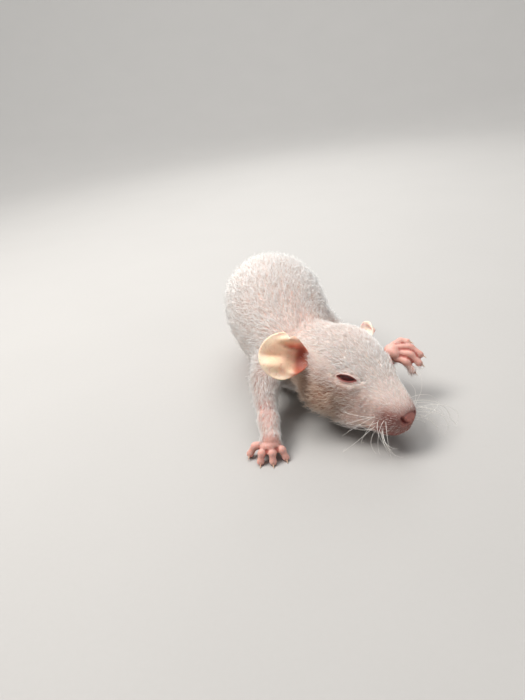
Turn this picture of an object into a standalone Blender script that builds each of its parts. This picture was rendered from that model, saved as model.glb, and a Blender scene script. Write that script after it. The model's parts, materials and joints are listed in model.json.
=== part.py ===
# A young rex rat, crouching, with its head turned and its left forepaw held out: a still, life-size model.
# It faces -Y, its left is +X, and the origin is on the floor under its belly. Sizes are in millimetres.
import math

import bmesh
import bpy
from mathutils import Matrix, Vector

mm = 0.001
gap = 0.3  # what touching pieces keep between them

# The whole skin, before it is parted: a finer one for the head and a plainer one for the rest
skin = {
    "voxel": 0.5,
    "smoothFactor": 0.5,
    "smoothRounds": 9,
    "headFaces": 5000,
    "bodyFaces": 4400,
}

# Each row of a form: x, y, z of its centre, half width, height above and below the centre
torso = {
    "rows": [
        (-3.6, 35.2, 17.0, 3.5, 4.0, 4.0),
        (-3.5, 33.6, 18.5, 8.4, 8.6, 10.0),
        (-3.1, 28.5, 20.5, 13.2, 12.4, 17.0),
        (-2.5, 21.0, 21.5, 15.6, 14.9, 21.6),
        (-1.7, 12.0, 21.4, 15.9, 14.6, 22.2),
        (-0.4, 3.0, 20.4, 14.5, 13.0, 22.2),
        (1.4, -5.0, 18.6, 12.6, 10.8, 20.4),
        (3.6, -11.0, 17.0, 11.0, 9.4, 15.0),
        (5.0, -15.5, 16.6, 8.8, 7.4, 12.4),
        (6.0, -18.5, 15.6, 6.0, 5.6, 8.6),
    ],
    "sides": 32,
    "steps": 4,
    # The belly is narrower than an oval would be
    "under": 1.45,
}

# The head is built facing -Y from the back of its skull, then turned
head = {
    "base": (6.0, -10.2, 20.4),
    "turn": 34.0,
    "droop": 13.5,
    "lean": 7.0,
    "length": 38.0,
    # Each row: share of the length, height of the centre, half width, height above and below the centre
    "rows": [
        (-0.08, -7.0, 7.5, 4.6, 5.0),
        (0.00, -5.0, 9.0, 6.4, 7.0),
        (0.14, -2.0, 10.9, 9.6, 10.4),
        (0.32, -0.6, 11.6, 10.4, 12.0),
        (0.48, -0.8, 10.8, 9.6, 11.6),
        (0.62, -1.6, 9.0, 8.0, 10.9),
        (0.76, -2.4, 7.4, 6.4, 9.5),
        (0.88, -3.0, 6.2, 5.0, 7.4),
        (0.96, -3.4, 4.8, 3.8, 5.2),
        (1.00, -3.6, 2.4, 2.0, 2.6),
    ],
    "sides": 28,
    "steps": 4,
}

neck = {"front": (0.0, -3.4, 0.0), "back": (2.4, -5.0, 19.0), "backWay": (-0.3, 0.95, -0.1)}

# Ellipsoids that fill out the head: where they are (left, back, up) and their radii
headForms = {
    "cheek": ((7.4, -14.5, -5.4), (5.2, 8.4, 6.6)),
    "jowl": ((4.6, -21.0, -7.4), (4.6, 7.0, 5.2)),
    "lids": ((6.4, -21.0, 2.1), (3.5, 4.3, 3.5)),
    "whiskerPad": ((3.6, -32.2, -4.8), (3.2, 4.4, 3.6)),
    "nose": ((0.8, -37.0, -2.2), (1.4, 1.6, 1.3)),
}
muzzleFrom = -26.4  # where the muzzle begins, in the head's own axes
mouth = {"front": (0.0, -36.5, -6.9), "back": (0.0, -26.4, -8.2)}
# Places and directions of the face are those of the left side; the right side mirrors them
eye = {
    "place": (6.4, -21.0, 2.1),
    "radius": 2.7,
    "outward": (0.8, -0.3, 0.5),
    "slit": (4.4, 1.5),
    "tilt": 20.0,
}
nostril = {"place": (1.3, -38.0, -2.3), "radii": (0.4, 1.0, 0.36), "turn": -34.0}
philtrum = {"place": (0.0, -38.6, -4.8), "radii": (0.2, 1.1, 1.5)}

# A cupped round sheet that stands out to the side and back, its hollow to the front
ear = {
    "left": {"place": (11.0, -13.1, -0.7), "upward": (0.55, 0.82, -0.18), "outward": (0.83, -0.52, 0.21)},
    "right": {"place": (9.9, -9.4, 1.6), "upward": (0.705, 0.705, -0.02), "outward": (0.574, -0.5, 0.648)},
    "height": 12.6,
    "width": 12.8,
    "thick": 0.7,
    "cup": 2.6,
    "rings": 4,
    "sectors": 22,
}

foreleg = {
    "rightRows": [
        (-5.0, -9.0, 15.5, 6.0),
        (-7.6, -14.6, 13.2, 5.4),
        (-9.0, -20.0, 10.2, 4.1),
        (-9.1, -25.0, 8.0, 3.3),
        (-9.0, -29.0, 6.8, 2.8),
        (-9.0, -32.0, 5.5, 2.5),
        (-9.1, -33.6, 4.5, 2.4),
    ],
    "leftRows": [
        (6.0, -5.0, 11.0, 6.0),
        (12.0, -3.8, 8.0, 5.2),
        (18.0, -3.6, 5.6, 4.2),
        (24.2, -5.8, 5.4, 3.2),
        (27.8, -9.4, 8.6, 2.6),
        (28.6, -11.8, 12.2, 2.3),
        (29.3, -12.8, 13.8, 2.3),
    ],
    # Where each paw leaves its leg, and what each shoulder takes from the body: a place and radii
    "rightWrist": ((-9.0, -32.0, 5.5), (0.0, -0.85, -0.52)),
    "leftWrist": ((28.6, -11.8, 12.2), (0.36, -0.50, 0.79)),
    "rightShoulder": ((-9.6, -23.2, 8.6), (8.6, 11.4, 9.4)),
    "leftShoulder": ((21.8, -7.6, 8.2), (11.4, 9.8, 9.6)),
}
# Each forepaw: its palm, then where each digit leaves it, bends and ends
forepaws = {
    "right": {
        "palm": ((-9.5, -34.2, 3.1), (2.9, 2.8, 1.9), (-28.0, 0.0, 8.0)),
        "digits": [
            ((-11.2, -33.8, 3.0), (-13.5, -33.7, 3.0), (-15.0, -34.2, 1.2)),
            ((-10.6, -35.2, 2.7), (-11.9, -36.6, 2.7), (-12.5, -37.5, 0.8)),
            ((-9.2, -35.6, 2.6), (-9.2, -37.2, 2.7), (-9.3, -38.3, 0.8)),
            ((-7.8, -35.0, 2.5), (-6.6, -36.3, 2.6), (-5.9, -37.2, 0.8)),
        ],
        "claws": (0.0, -0.4, -0.5),
    },
    "left": {
        "palm": ((29.5, -13.1, 13.6), (3.0, 2.7, 2.0), (0.0, 24.0, -30.0)),
        "digits": [
            ((29.9, -11.7, 15.0), (31.9, -11.9, 16.2), (33.4, -12.9, 16.2)),
            ((30.6, -12.8, 14.8), (33.8, -14.0, 15.1), (36.2, -16.0, 13.3)),
            ((30.3, -14.0, 13.7), (33.4, -15.8, 13.6), (35.4, -17.6, 11.5)),
            ((29.8, -14.8, 12.5), (32.0, -16.8, 11.9), (33.3, -18.0, 9.6)),
        ],
        "claws": (0.1, -0.5, -0.6),
    },
}
digitRadii = (1.08, 0.93, 0.80)
paw = {"voxel": 0.28, "smoothRounds": 3, "foreFaces": 420, "hindFaces": 420}
claw = {"length": 1.7, "radius": 0.42, "sides": 6}

# The right side of what both sides have
hindleg = {
    "thigh": ((-7.8, 21.5, 13.5), (5.8, 10.5, 12.0), 10.0),
    "shankRows": [
        (-8.0, 17.0, 7.6, 4.8),
        (-8.2, 22.0, 5.6, 4.2),
        (-8.6, 28.0, 3.6, 3.3),
    ],
    # What the leg takes from the body, and how far both legs sit to one side
    "region": ((-14.0, 19.5, 8.0), (9.0, 13.6, 13.0)),
    "shift": -1.4,
}
hindfoot = {
    "rows": [
        (-8.4, 31.0, 2.2, 1.6, 1.5, 2.4),
        (-8.5, 27.0, 2.2, 2.1, 1.9, 2.4),
        (-8.6, 20.0, 1.9, 2.1, 1.5, 2.1),
        (-8.8, 13.0, 1.7, 2.6, 1.3, 1.9),
        (-8.9, 9.0, 1.6, 3.0, 1.2, 1.8),
        (-8.9, 7.0, 1.5, 2.6, 1.0, 1.7),
    ],
    "digits": [
        ((-10.6, 9.4, 1.3), (-11.6, 7.4, 1.8), (-12.1, 5.6, 0.8)),
        ((-10.1, 7.6, 1.4), (-11.1, 4.4, 2.0), (-11.6, 2.2, 0.8)),
        ((-9.0, 7.2, 1.4), (-9.3, 3.6, 2.0), (-9.6, 1.2, 0.8)),
        ((-7.9, 7.6, 1.4), (-7.6, 4.2, 1.9), (-7.6, 2.0, 0.8)),
        ((-7.0, 9.0, 1.3), (-6.1, 7.2, 1.7), (-5.7, 5.4, 0.8)),
    ],
    "claws": (0.0, -0.5, -0.35),
    # How far past the foot its hollow in the body and the leg goes, and the hollow over the toes
    "clear": 0.45,
    "toeHollow": ((-9.2, 5.0, 0.0), (6.4, 7.0, 4.0)),
}

tail = {
    # x, y, z and radius
    "rows": [
        (-3.2, 27.0, 11.0, 5.2),
        (-3.6, 33.0, 7.4, 4.4),
        (-4.0, 38.0, 4.3, 3.3),
        (-4.0, 43.0, 2.65, 2.75),
        (-3.0, 49.0, 2.35, 2.5),
        (-0.4, 56.0, 2.1, 2.25),
        (2.6, 63.0, 1.88, 2.0),
        (4.2, 70.0, 1.64, 1.75),
        (3.6, 77.0, 1.41, 1.5),
        (1.0, 83.5, 1.17, 1.25),
        (-2.8, 89.0, 0.94, 1.0),
        (-5.2, 92.0, 0.75, 0.8),
    ],
    "sides": 12,
    "steps": 4,
    "joints": (41.0, 57.0, 76.0),
}

# Each whisker leaves the pad at (outward, back, up), heads off, and bends as it goes; the length is along it
whiskers = {
    "leftRows": [
        ((5.2, -34.0, -3.2), (0.62, -0.58, 0.66), (0.03, 0.04, -0.20), 14.0),
        ((5.7, -32.0, -3.2), (0.80, -0.36, 0.58), (0.02, -0.02, -0.16), 17.0),
        ((5.5, -34.2, -5.0), (0.66, -0.68, 0.44), (-0.02, 0.08, -0.14), 13.0),
        ((6.0, -32.2, -5.0), (0.84, -0.44, 0.38), (-0.02, 0.04, -0.11), 16.0),
        ((5.0, -34.2, -6.6), (0.68, -0.66, 0.26), (-0.10, 0.08, -0.04), 10.0),
        ((5.6, -32.4, -6.6), (0.84, -0.40, 0.24), (-0.10, 0.10, -0.04), 12.0),
    ],
    "rightRows": [
        ((5.4, -33.6, -3.4), (0.88, -0.36, 0.26), (-0.30, -0.02, -0.20), 12.0),
        ((5.9, -31.6, -3.2), (0.95, 0.10, 0.20), (-0.16, 0.12, -0.18), 14.0),
        ((5.6, -34.0, -5.2), (0.76, -0.50, -0.10), (-0.30, 0.04, -0.04), 10.0),
        ((6.2, -32.0, -5.0), (0.90, -0.05, -0.20), (-0.24, 0.14, -0.04), 12.0),
        ((5.2, -34.0, -6.6), (0.70, -0.46, -0.30), (-0.30, -0.06, 0.12), 6.5),
        ((5.8, -32.2, -6.6), (0.80, 0.10, -0.30), (-0.26, 0.14, 0.12), 7.5),
    ],
    "radii": (0.34, 0.25),
    "steps": 7,
    "sides": 4,
    "sunk": 1.6,
}

colours = {
    "coat": (0.80, 0.70, 0.66),
    "ear": (0.78, 0.52, 0.38),
    "eye": (0.10, 0.012, 0.012),
    "skin": (0.78, 0.47, 0.41),
}


def clearScene():
    for obj in list(bpy.data.objects):
        bpy.data.objects.remove(obj)


def curveThrough(rows, steps):
    """Rows of numbers on a smooth curve through the given rows, steps to each stretch."""
    found = []
    last = len(rows) - 1
    for i in range(last):
        before, start = rows[max(i - 1, 0)], rows[i]
        end, after = rows[i + 1], rows[min(i + 2, last)]
        for k in range(steps):
            t = k / steps
            found.append(tuple(
                0.5 * (2 * b + (c - a) * t + (2 * a - 5 * b + 4 * c - d) * t**2 + (3 * b - a - 3 * c + d) * t**3)
                for a, b, c, d in zip(before, start, end, after)
            ))
    found.append(tuple(rows[last]))
    return found


def loft(rows, sides, squareness=1.0, roundEnds=False, under=None):
    """A closed tube through rows of x, y, z, half width, height above and below its centre."""
    shape = bmesh.new()
    centres = [Vector(row[:3]) for row in rows]
    rings = []
    for i, row in enumerate(rows):
        ahead = (centres[min(i + 1, len(rows) - 1)] - centres[max(i - 1, 0)]).normalized()
        side = ahead.cross(Vector((0, 0, 1))).normalized()
        up = side.cross(ahead)
        rings.append((centres[i], side, up, ahead, row[3:6]))
    if roundEnds:
        rings = roundCap(rings[0], -1)[::-1] + rings + roundCap(rings[-1], 1)
    loops = []
    for centre, side, up, _, (wide, above, below) in rings:
        loop = []
        for k in range(sides):
            angle = math.tau * (k + 0.5) / sides
            c, s = math.cos(angle), math.sin(angle)
            power = under if under and s < 0 else squareness
            x = wide * math.copysign(abs(c) ** power, c)
            z = (above if s > 0 else below) * math.copysign(abs(s) ** squareness, s)
            loop.append(shape.verts.new(centre + side * x + up * z))
        loops.append(loop)
    for first, second in zip(loops, loops[1:]):
        for k in range(sides):
            shape.faces.new((first[k], first[(k + 1) % sides], second[(k + 1) % sides], second[k]))
    for loop in (loops[0], loops[-1]):
        pole = shape.verts.new(sum((v.co for v in loop), Vector()) / sides)
        for k in range(sides):
            shape.faces.new((loop[k], loop[(k + 1) % sides], pole))
    bmesh.ops.recalc_face_normals(shape, faces=shape.faces)
    return shape


def roundCap(ring, way):
    """Three shrinking rings that round off the end of a tube."""
    centre, side, up, ahead, sizes = ring
    reach = min(sizes)
    found = []
    for angle in (28, 56, 78):
        a = math.radians(angle)
        place = centre + ahead * (way * reach * math.sin(a))
        found.append((place, side, up, ahead, tuple(s * math.cos(a) for s in sizes)))
    return found


def tube(rows, sides, steps=3):
    """A round tube with round ends through rows of x, y, z and radius."""
    full = [(x, y, z, r, r, r) for x, y, z, r in curveThrough(rows, steps)]
    return loft(full, sides, roundEnds=True)


def ellipsoid(place, radii, turn=Matrix.Identity(4), finer=3):
    shape = bmesh.new()
    bmesh.ops.create_icosphere(shape, subdivisions=finer, radius=1.0)
    shape.transform(Matrix.Translation(place) @ turn @ Matrix.Diagonal((*radii, 1.0)))
    return shape


def mirrored(place):
    return (-place[0], place[1], place[2])


def headFrame():
    """From the head's own axes, where it faces -Y, to where it is."""
    turn = Matrix.Rotation(math.radians(head["turn"]), 4, "Z")
    droop = Matrix.Rotation(math.radians(head["droop"]), 4, "X")
    lean = Matrix.Rotation(math.radians(head["lean"]), 4, "Y")
    return Matrix.Translation(head["base"]) @ turn @ droop @ lean


def joined(shapes, name):
    """One mesh object, in metres, that holds every shape."""
    whole = bmesh.new()
    for shape in shapes:
        mesh = bpy.data.meshes.new("piece")
        shape.to_mesh(mesh)
        shape.free()
        whole.from_mesh(mesh)
        bpy.data.meshes.remove(mesh)
    whole.transform(Matrix.Scale(mm, 4))
    mesh = bpy.data.meshes.new(name)
    whole.to_mesh(mesh)
    whole.free()
    obj = bpy.data.objects.new(name, mesh)
    bpy.context.scene.collection.objects.link(obj)
    return obj


def applyModifiers(obj):
    bpy.context.view_layer.update()
    graph = bpy.context.evaluated_depsgraph_get()
    mesh = bpy.data.meshes.new_from_object(obj.evaluated_get(graph))
    obj.modifiers.clear()
    old = obj.data
    obj.data = mesh
    bpy.data.meshes.remove(old)


def headShapes():
    length = head["length"]
    rows = [
        (0.0, -share * length, rise, wide, above, below)
        for share, rise, wide, above, below in curveThrough(head["rows"], head["steps"])
    ]
    shapes = [loft(rows, head["sides"], squareness=0.92)]
    for place, radii in headForms.values():
        shapes += [ellipsoid(place, radii), ellipsoid(mirrored(place), radii)]
    for shape in shapes:
        shape.transform(headFrame())
    return shapes


def torsoShape():
    return loft(curveThrough(torso["rows"], torso["steps"]), torso["sides"], under=torso["under"])


def legShapes():
    shapes = [tube(foreleg["rightRows"], 16), tube(foreleg["leftRows"], 16)]
    place, radii, slant = hindleg["thigh"]
    lean = Matrix.Rotation(math.radians(slant), 4, "X")
    for side in (1, -1):
        for shape in (ellipsoid(place, radii, lean), tube(hindleg["shankRows"], 16)):
            shapes.append(onHip(shape, side))
    shapes.append(tube(tail["rows"][:5], 16))
    return shapes


def onSide(shape, side):
    """The shape as it is for side 1, or mirrored to the other side for side -1."""
    if side < 0:
        shape.transform(Matrix.Scale(-1, 4, (1, 0, 0)))
        bmesh.ops.reverse_faces(shape, faces=shape.faces)
    return shape


def onHip(shape, side):
    shape = onSide(shape, side)
    shape.transform(Matrix.Translation((hindleg["shift"], 0, 0)))
    return shape


def softened(obj, voxel, smoothFactor, smoothRounds, faces):
    """Makes one soft surface, with about so many triangles, of all that the object holds."""
    remesh = obj.modifiers.new("one surface", "REMESH")
    remesh.mode = "VOXEL"
    remesh.voxel_size = voxel * mm
    smooth = obj.modifiers.new("soft joins", "SMOOTH")
    smooth.factor = smoothFactor
    smooth.iterations = smoothRounds
    applyModifiers(obj)
    fewer = obj.modifiers.new("fewer faces", "DECIMATE")
    fewer.ratio = min(1.0, faces / (2 * len(obj.data.polygons)))
    fewer.use_collapse_triangulate = True
    applyModifiers(obj)
    return obj


def boolean(obj, other, operation, solver="EXACT", keep=False):
    change = obj.modifiers.new(operation.lower(), "BOOLEAN")
    change.operation = operation
    change.object = other
    change.solver = solver
    applyModifiers(obj)
    if not keep:
        bpy.data.objects.remove(other)
    return obj


def copied(obj, name):
    new = bpy.data.objects.new(name, obj.data.copy())
    bpy.context.scene.collection.objects.link(new)
    return new


def cutAway(obj, place, direction, reach=120.0):
    """Removes what lies past the place in the direction."""
    ahead = Vector(direction).normalized()
    turn = ahead.to_track_quat("Z", "Y").to_matrix().to_4x4()
    block = bmesh.new()
    bmesh.ops.create_cube(block, size=2 * reach)
    block.transform(Matrix.Translation(Vector(place) + ahead * reach) @ turn)
    return boolean(obj, joined([block], "block"), "DIFFERENCE")


def keepLargest(obj):
    """Keeps only the largest closed surface."""
    shape = bmesh.new()
    shape.from_mesh(obj.data)
    bmesh.ops.triangulate(shape, faces=shape.faces)
    waiting = set(shape.verts)
    islands = []
    while waiting:
        found = {waiting.pop()}
        edge = list(found)
        while edge:
            near = {e.other_vert(v) for v in edge for e in v.link_edges} - found
            found |= near
            edge = list(near)
        waiting -= found
        islands.append(found)

    def volume(island):
        faces = {f for v in island for f in v.link_faces}
        return sum(f.verts[0].co.dot(f.verts[1].co.cross(f.verts[2].co)) for f in faces)

    islands.sort(key=volume)
    bmesh.ops.delete(shape, geom=[v for island in islands[:-1] for v in island], context="VERTS")
    shape.to_mesh(obj.data)
    shape.free()
    return obj


def finished(obj, name, colour, roughness=0.7):
    keepLargest(obj)
    obj.name = name
    obj.data.name = name
    material = bpy.data.materials.new(name)
    material.use_nodes = True
    shader = material.node_tree.nodes["Principled BSDF"]
    shader.inputs["Base Color"].default_value = (*colours[colour], 1.0)
    shader.inputs["Roughness"].default_value = roughness
    shader.inputs["Metallic"].default_value = 0.0
    obj.data.materials.clear()
    obj.data.materials.append(material)
    return obj


def wholeSkin(shapes, faces):
    """One soft surface of the torso and the given shapes."""
    obj = joined([torsoShape()] + shapes, "skin")
    return softened(obj, skin["voxel"], skin["smoothFactor"], skin["smoothRounds"], faces)


def onHead(place):
    return headFrame() @ Vector(place)


def headward(direction):
    """A direction of the head's own axes, as it points in the world."""
    return headFrame().to_3x3() @ Vector(direction)


def almond(side):
    """The opening between the lids, as a short column that stands outward from the eye."""
    outward = Vector(eye["outward"]).normalized()
    along = (Vector((0, -1, 0)) - outward * outward.dot(Vector((0, -1, 0)))).normalized()
    # For the left side the tilt turns the other way round than for the right
    along = Matrix.Rotation(math.radians(-eye["tilt"]), 3, outward) @ along
    across = outward.cross(along)
    long, high = eye["slit"]
    shape = bmesh.new()
    ends = []
    for depth in (0.0, 3 * eye["radius"]):
        ring = []
        for k in range(20):
            angle = math.tau * k / 20
            c, s = math.cos(angle), math.sin(angle)
            spot = along * (long / 2 * c) + across * (high / 2 * s * abs(s) ** 0.4)
            ring.append(shape.verts.new(Vector(eye["place"]) + outward * depth + spot))
        ends.append(ring)
    for k in range(20):
        shape.faces.new((ends[0][k], ends[0][(k + 1) % 20], ends[1][(k + 1) % 20], ends[1][k]))
    shape.faces.new(ends[0])
    shape.faces.new(ends[1])
    bmesh.ops.recalc_face_normals(shape, faces=shape.faces)
    shape = onSide(shape, side)
    shape.transform(headFrame())
    return shape


def headEllipsoid(place, radii, side, turn=0.0, finer=3):
    lean = Matrix.Rotation(math.radians(turn), 4, "Z")
    shape = onSide(ellipsoid(place, radii, lean, finer), side)
    shape.transform(headFrame())
    return shape


def earSheet(side):
    form = ear["left" if side > 0 else "right"]
    upward = Vector(form["upward"]).normalized()
    across = upward.cross(Vector(form["outward"])).normalized()
    outward = across.cross(upward)
    base = Vector(form["place"])
    shape = bmesh.new()
    centre = shape.verts.new(base + upward * ear["height"] * 0.46)
    loops = []
    for ring in range(1, ear["rings"] + 1):
        share = ring / ear["rings"]
        loop = []
        for k in range(ear["sectors"]):
            angle = math.tau * k / ear["sectors"]
            tall = ear["height"] * (0.46 + 0.54 * share * math.cos(angle))
            narrow = 1.0 - 0.30 * max(0.0, 1.0 - tall / (0.5 * ear["height"])) ** 1.5
            wide = ear["width"] / 2 * share * math.sin(angle) * narrow
            level = tall / ear["height"]
            edge = abs(2 * wide / ear["width"])
            lift = ear["cup"] * edge**2 * (1.25 - 0.75 * level) + 0.9 * (level - 0.5) ** 2
            loop.append(shape.verts.new(base + upward * tall + across * wide + outward * lift))
        loops.append(loop)
    for k in range(ear["sectors"]):
        shape.faces.new((centre, loops[0][k], loops[0][(k + 1) % ear["sectors"]]))
    for first, second in zip(loops, loops[1:]):
        for k in range(ear["sectors"]):
            after = (k + 1) % ear["sectors"]
            shape.faces.new((first[k], second[k], second[after], first[after]))
    bmesh.ops.recalc_face_normals(shape, faces=shape.faces)
    shape = onSide(shape, side)
    shape.transform(headFrame())
    obj = joined([shape], "ear sheet")
    thick = obj.modifiers.new("thick", "SOLIDIFY")
    thick.thickness = ear["thick"] * mm
    thick.offset = 0.0
    applyModifiers(obj)
    return obj


def whisker(root, heading, bend, length, side):
    """A thin tapering tube that starts inside the pad and bends as it goes."""
    place = Vector(root)
    way = Vector(heading).normalized()
    place -= way * whiskers["sunk"]
    steps = whiskers["steps"]
    first, last = whiskers["radii"]
    stride = (length + whiskers["sunk"]) / steps
    rows = []
    for k in range(steps + 1):
        radius = first + (last - first) * k / steps
        rows.append((*place, radius, radius, radius))
        way = (way + Vector(bend) * (stride / 2.5)).normalized()
        place = place + way * stride
    shape = onSide(loft(rows, whiskers["sides"]), side)
    shape.transform(headFrame())
    return shape


def makeHead(fine):
    """Makes all of the head, and returns what the rest must keep clear of."""
    behind = headward((0.0, 1.0, 0.0))
    neckPlace = onHead(neck["front"])
    cranium = cutAway(copied(fine, "head"), neckPlace - behind * gap / 2, behind)
    keepLargest(cranium)
    front = cutAway(copied(cranium, "muzzle"), onHead((0, muzzleFrom - gap / 2, 0)), behind)
    cutAway(cranium, onHead((0, muzzleFrom + gap / 2, 0)), -behind)
    for side in (1, -1):
        hollow = joined([headEllipsoid(eye["place"], [eye["radius"] + gap] * 3, side)], "socket")
        boolean(cranium, hollow, "DIFFERENCE")
        boolean(cranium, joined([almond(side)], "slit"), "DIFFERENCE")
        ball = joined([headEllipsoid(eye["place"], [eye["radius"]] * 3, side)], "eyeball")
        finished(ball, "eye_left" if side > 0 else "eye_right", "eye", 0.15)
    # The lower jaw is what lies under the line of the mouth
    forward, back = Vector(mouth["front"]), Vector(mouth["back"])
    upward = (back - forward).cross(Vector((1, 0, 0))).normalized()
    if upward.z < 0:
        upward = -upward
    jaw = cutAway(copied(front, "jaw"), onHead(back - upward * gap / 2), headward(upward))
    cutAway(front, onHead(back + upward * gap / 2), headward(-upward))
    finished(jaw, "lower_jaw", "coat")
    for side in (1, -1):
        hole = joined([headEllipsoid(nostril["place"], nostril["radii"], side, nostril["turn"], 2)], "hole")
        boolean(front, hole, "DIFFERENCE")
    groove = joined([headEllipsoid(philtrum["place"], philtrum["radii"], 1, 0.0, 2)], "groove")
    boolean(front, groove, "DIFFERENCE")
    for side, key in ((1, "leftRows"), (-1, "rightRows")):
        for row in whiskers[key]:
            boolean(front, joined([whisker(*row, side)], "whisker"), "UNION")
    finished(front, "muzzle", "coat")
    grown = copied(cranium, "grown")
    push = grown.modifiers.new("grown", "DISPLACE")
    push.mid_level = 0.0
    push.strength = gap * mm
    applyModifiers(grown)
    for side in (1, -1):
        sheet = earSheet(side)
        boolean(sheet, grown, "DIFFERENCE", keep=True)
        finished(sheet, "ear_left" if side > 0 else "ear_right", "ear")
    finished(cranium, "head", "coat")
    return grown


def region(place, radii, side, more=0.0):
    """The ellipsoid of a leg's share of the body; side 0 stands for the forelegs, which have one each."""
    shape = ellipsoid(place, [r + more for r in radii])
    return joined([onHip(shape, side) if side else shape], "region")


def footHollow(side):
    rows = [(x, y, z, wide + hindfoot["clear"], above + hindfoot["clear"], below + 3.0)
            for x, y, z, wide, above, below in curveThrough(hindfoot["rows"], 3)]
    place, radii = hindfoot["toeHollow"]
    return joined([onHip(loft(rows, 16, roundEnds=True), side)], "hollow"), region(place, radii, side)


def makeBody(coarse, headClear):
    """Parts the neck, the torso and the legs."""
    cuts = {
        "foreleg_right": (foreleg["rightShoulder"], 0),
        "foreleg_left": (foreleg["leftShoulder"], 0),
        "hind_leg_right": (hindleg["region"], 1),
        "hind_leg_left": (hindleg["region"], -1),
    }
    ahead = headward((0.0, -1.0, 0.0))
    front = onHead(neck["front"])
    back, way = Vector(neck["back"]), Vector(neck["backWay"]).normalized()
    collar = cutAway(copied(coarse, "neck"), front - ahead * gap / 2, ahead)
    cutAway(collar, back - way * gap / 2, way)
    legs = {}
    for name, (form, side) in cuts.items():
        legs[name] = boolean(copied(coarse, name), region(*form, side), "INTERSECT")
        keepLargest(legs[name])
    for form, side in cuts.values():
        boolean(coarse, region(*form, side, gap), "DIFFERENCE")
        boolean(collar, region(*form, side, gap), "DIFFERENCE")
    for name, wrist in (("foreleg_right", "rightWrist"), ("foreleg_left", "leftWrist")):
        place, wristWay = foreleg[wrist]
        onward = Vector(wristWay).normalized()
        boolean(legs[name], headClear, "DIFFERENCE", keep=True)
        cutAway(legs[name], Vector(place) - onward * gap / 2, onward)
    for name, side in (("hind_leg_right", 1), ("hind_leg_left", -1)):
        for obj in (legs[name], coarse):
            for hollow in footHollow(side):
                boolean(obj, hollow, "DIFFERENCE")
    cutAway(coarse, back + way * gap / 2, -way)
    cutAway(coarse, *tailPoint(tail["joints"][0]))
    for obj in (coarse, legs["hind_leg_left"], legs["hind_leg_right"]):
        cutAway(obj, (0, 0, 0), (0, 0, -1))
    for name, obj in legs.items():
        finished(obj, name, "coat")
    finished(collar, "neck", "coat")
    finished(coarse, "torso", "coat")


def digitShapes(rows, claws):
    """The soft digits, and their claws apart."""
    soft, hard = [], []
    for base, bend, end in rows:
        points = [(*p, r) for p, r in zip((base, bend, end), digitRadii)]
        soft.append(tube(points, 10))
        way = (Vector(end) - Vector(bend)).normalized() + Vector(claws)
        way = way.normalized()
        spots = [Vector(end) + way * claw["length"] * t + Vector((0, 0, -0.25 * t * t)) for t in (0.0, 0.55, 1.0)]
        sizes = (claw["radius"], 0.7 * claw["radius"], 0.12)
        hard.append(loft([(*p, r, r, r) for p, r in zip(spots, sizes)], claw["sides"]))
    return soft, hard


def makePaw(name, soft, hard, faces):
    obj = joined(soft, name)
    softened(obj, paw["voxel"], 0.5, paw["smoothRounds"], faces)
    for shape in hard:
        boolean(obj, joined([shape], "claw"), "UNION")
    return obj


def makePaws():
    for side, wrist, rows in (("right", "rightWrist", "rightRows"), ("left", "leftWrist", "leftRows")):
        form = forepaws[side]
        place, radii, turns = form["palm"]
        turn = Matrix.Rotation(math.radians(turns[2]), 4, "Z")
        turn = turn @ Matrix.Rotation(math.radians(turns[1]), 4, "Y")
        turn = turn @ Matrix.Rotation(math.radians(turns[0]), 4, "X")
        soft, hard = digitShapes(form["digits"], form["claws"])
        soft += [ellipsoid(place, radii, turn), tube(foreleg[rows][-3:], 14)]
        obj = makePaw("forepaw_" + side, soft, hard, paw["foreFaces"])
        spot, way = foreleg[wrist]
        ahead = Vector(way).normalized()
        cutAway(obj, Vector(spot) + ahead * gap / 2, -ahead)
        if side == "right":
            cutAway(obj, (0, 0, 0), (0, 0, -1))
        finished(obj, "forepaw_" + side, "skin")
    for side, name in ((1, "hind_foot_right"), (-1, "hind_foot_left")):
        soft, hard = digitShapes(hindfoot["digits"], hindfoot["claws"])
        soft.append(loft(curveThrough(hindfoot["rows"], 3), 16, roundEnds=True))
        soft, hard = [onHip(shape, side) for shape in soft], [onHip(shape, side) for shape in hard]
        obj = makePaw(name, soft, hard, paw["hindFaces"])
        cutAway(obj, (0, 0, 0), (0, 0, -1))
        finished(obj, name, "skin")


def tailRows(start, end):
    """Rows of the tail from one y to another, as y only grows along it."""
    fine = curveThrough(tail["rows"], 40)
    found = [row for row in fine if start <= row[1] <= end]
    count = max(4, round((end - start) / 2.6))
    return [found[round(k * (len(found) - 1) / count)] for k in range(count + 1)]


def tailPoint(y):
    fine = curveThrough(tail["rows"], 40)
    i = min(range(1, len(fine) - 1), key=lambda k: abs(fine[k][1] - y))
    return Vector(fine[i][:3]), (Vector(fine[i + 1][:3]) - Vector(fine[i - 1][:3])).normalized()


def makeTail():
    edges = (*tail["joints"], tail["rows"][-1][1])
    for name, start, end in zip(("tail_base", "tail_middle", "tail_tip"), edges, edges[1:]):
        rows = [(x, y, z, r, r, r) for x, y, z, r in tailRows(start + gap, end)]
        shape = loft(rows, tail["sides"])
        for vert in shape.verts:
            vert.co.z = max(vert.co.z, 0.0)
        finished(joined([shape], name), name, "skin")


def main():
    clearScene()
    fine = wholeSkin(headShapes(), skin["headFaces"])
    headClear = makeHead(fine)
    makeBody(wholeSkin(headShapes() + legShapes(), skin["bodyFaces"]), headClear)
    makePaws()
    makeTail()
    bpy.data.objects.remove(headClear)
    bpy.data.objects.remove(fine)


main()
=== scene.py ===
import json
import math

import bmesh
import bpy
import numpy as np
from mathutils import Matrix, Vector
from mathutils.kdtree import KDTree

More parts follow.
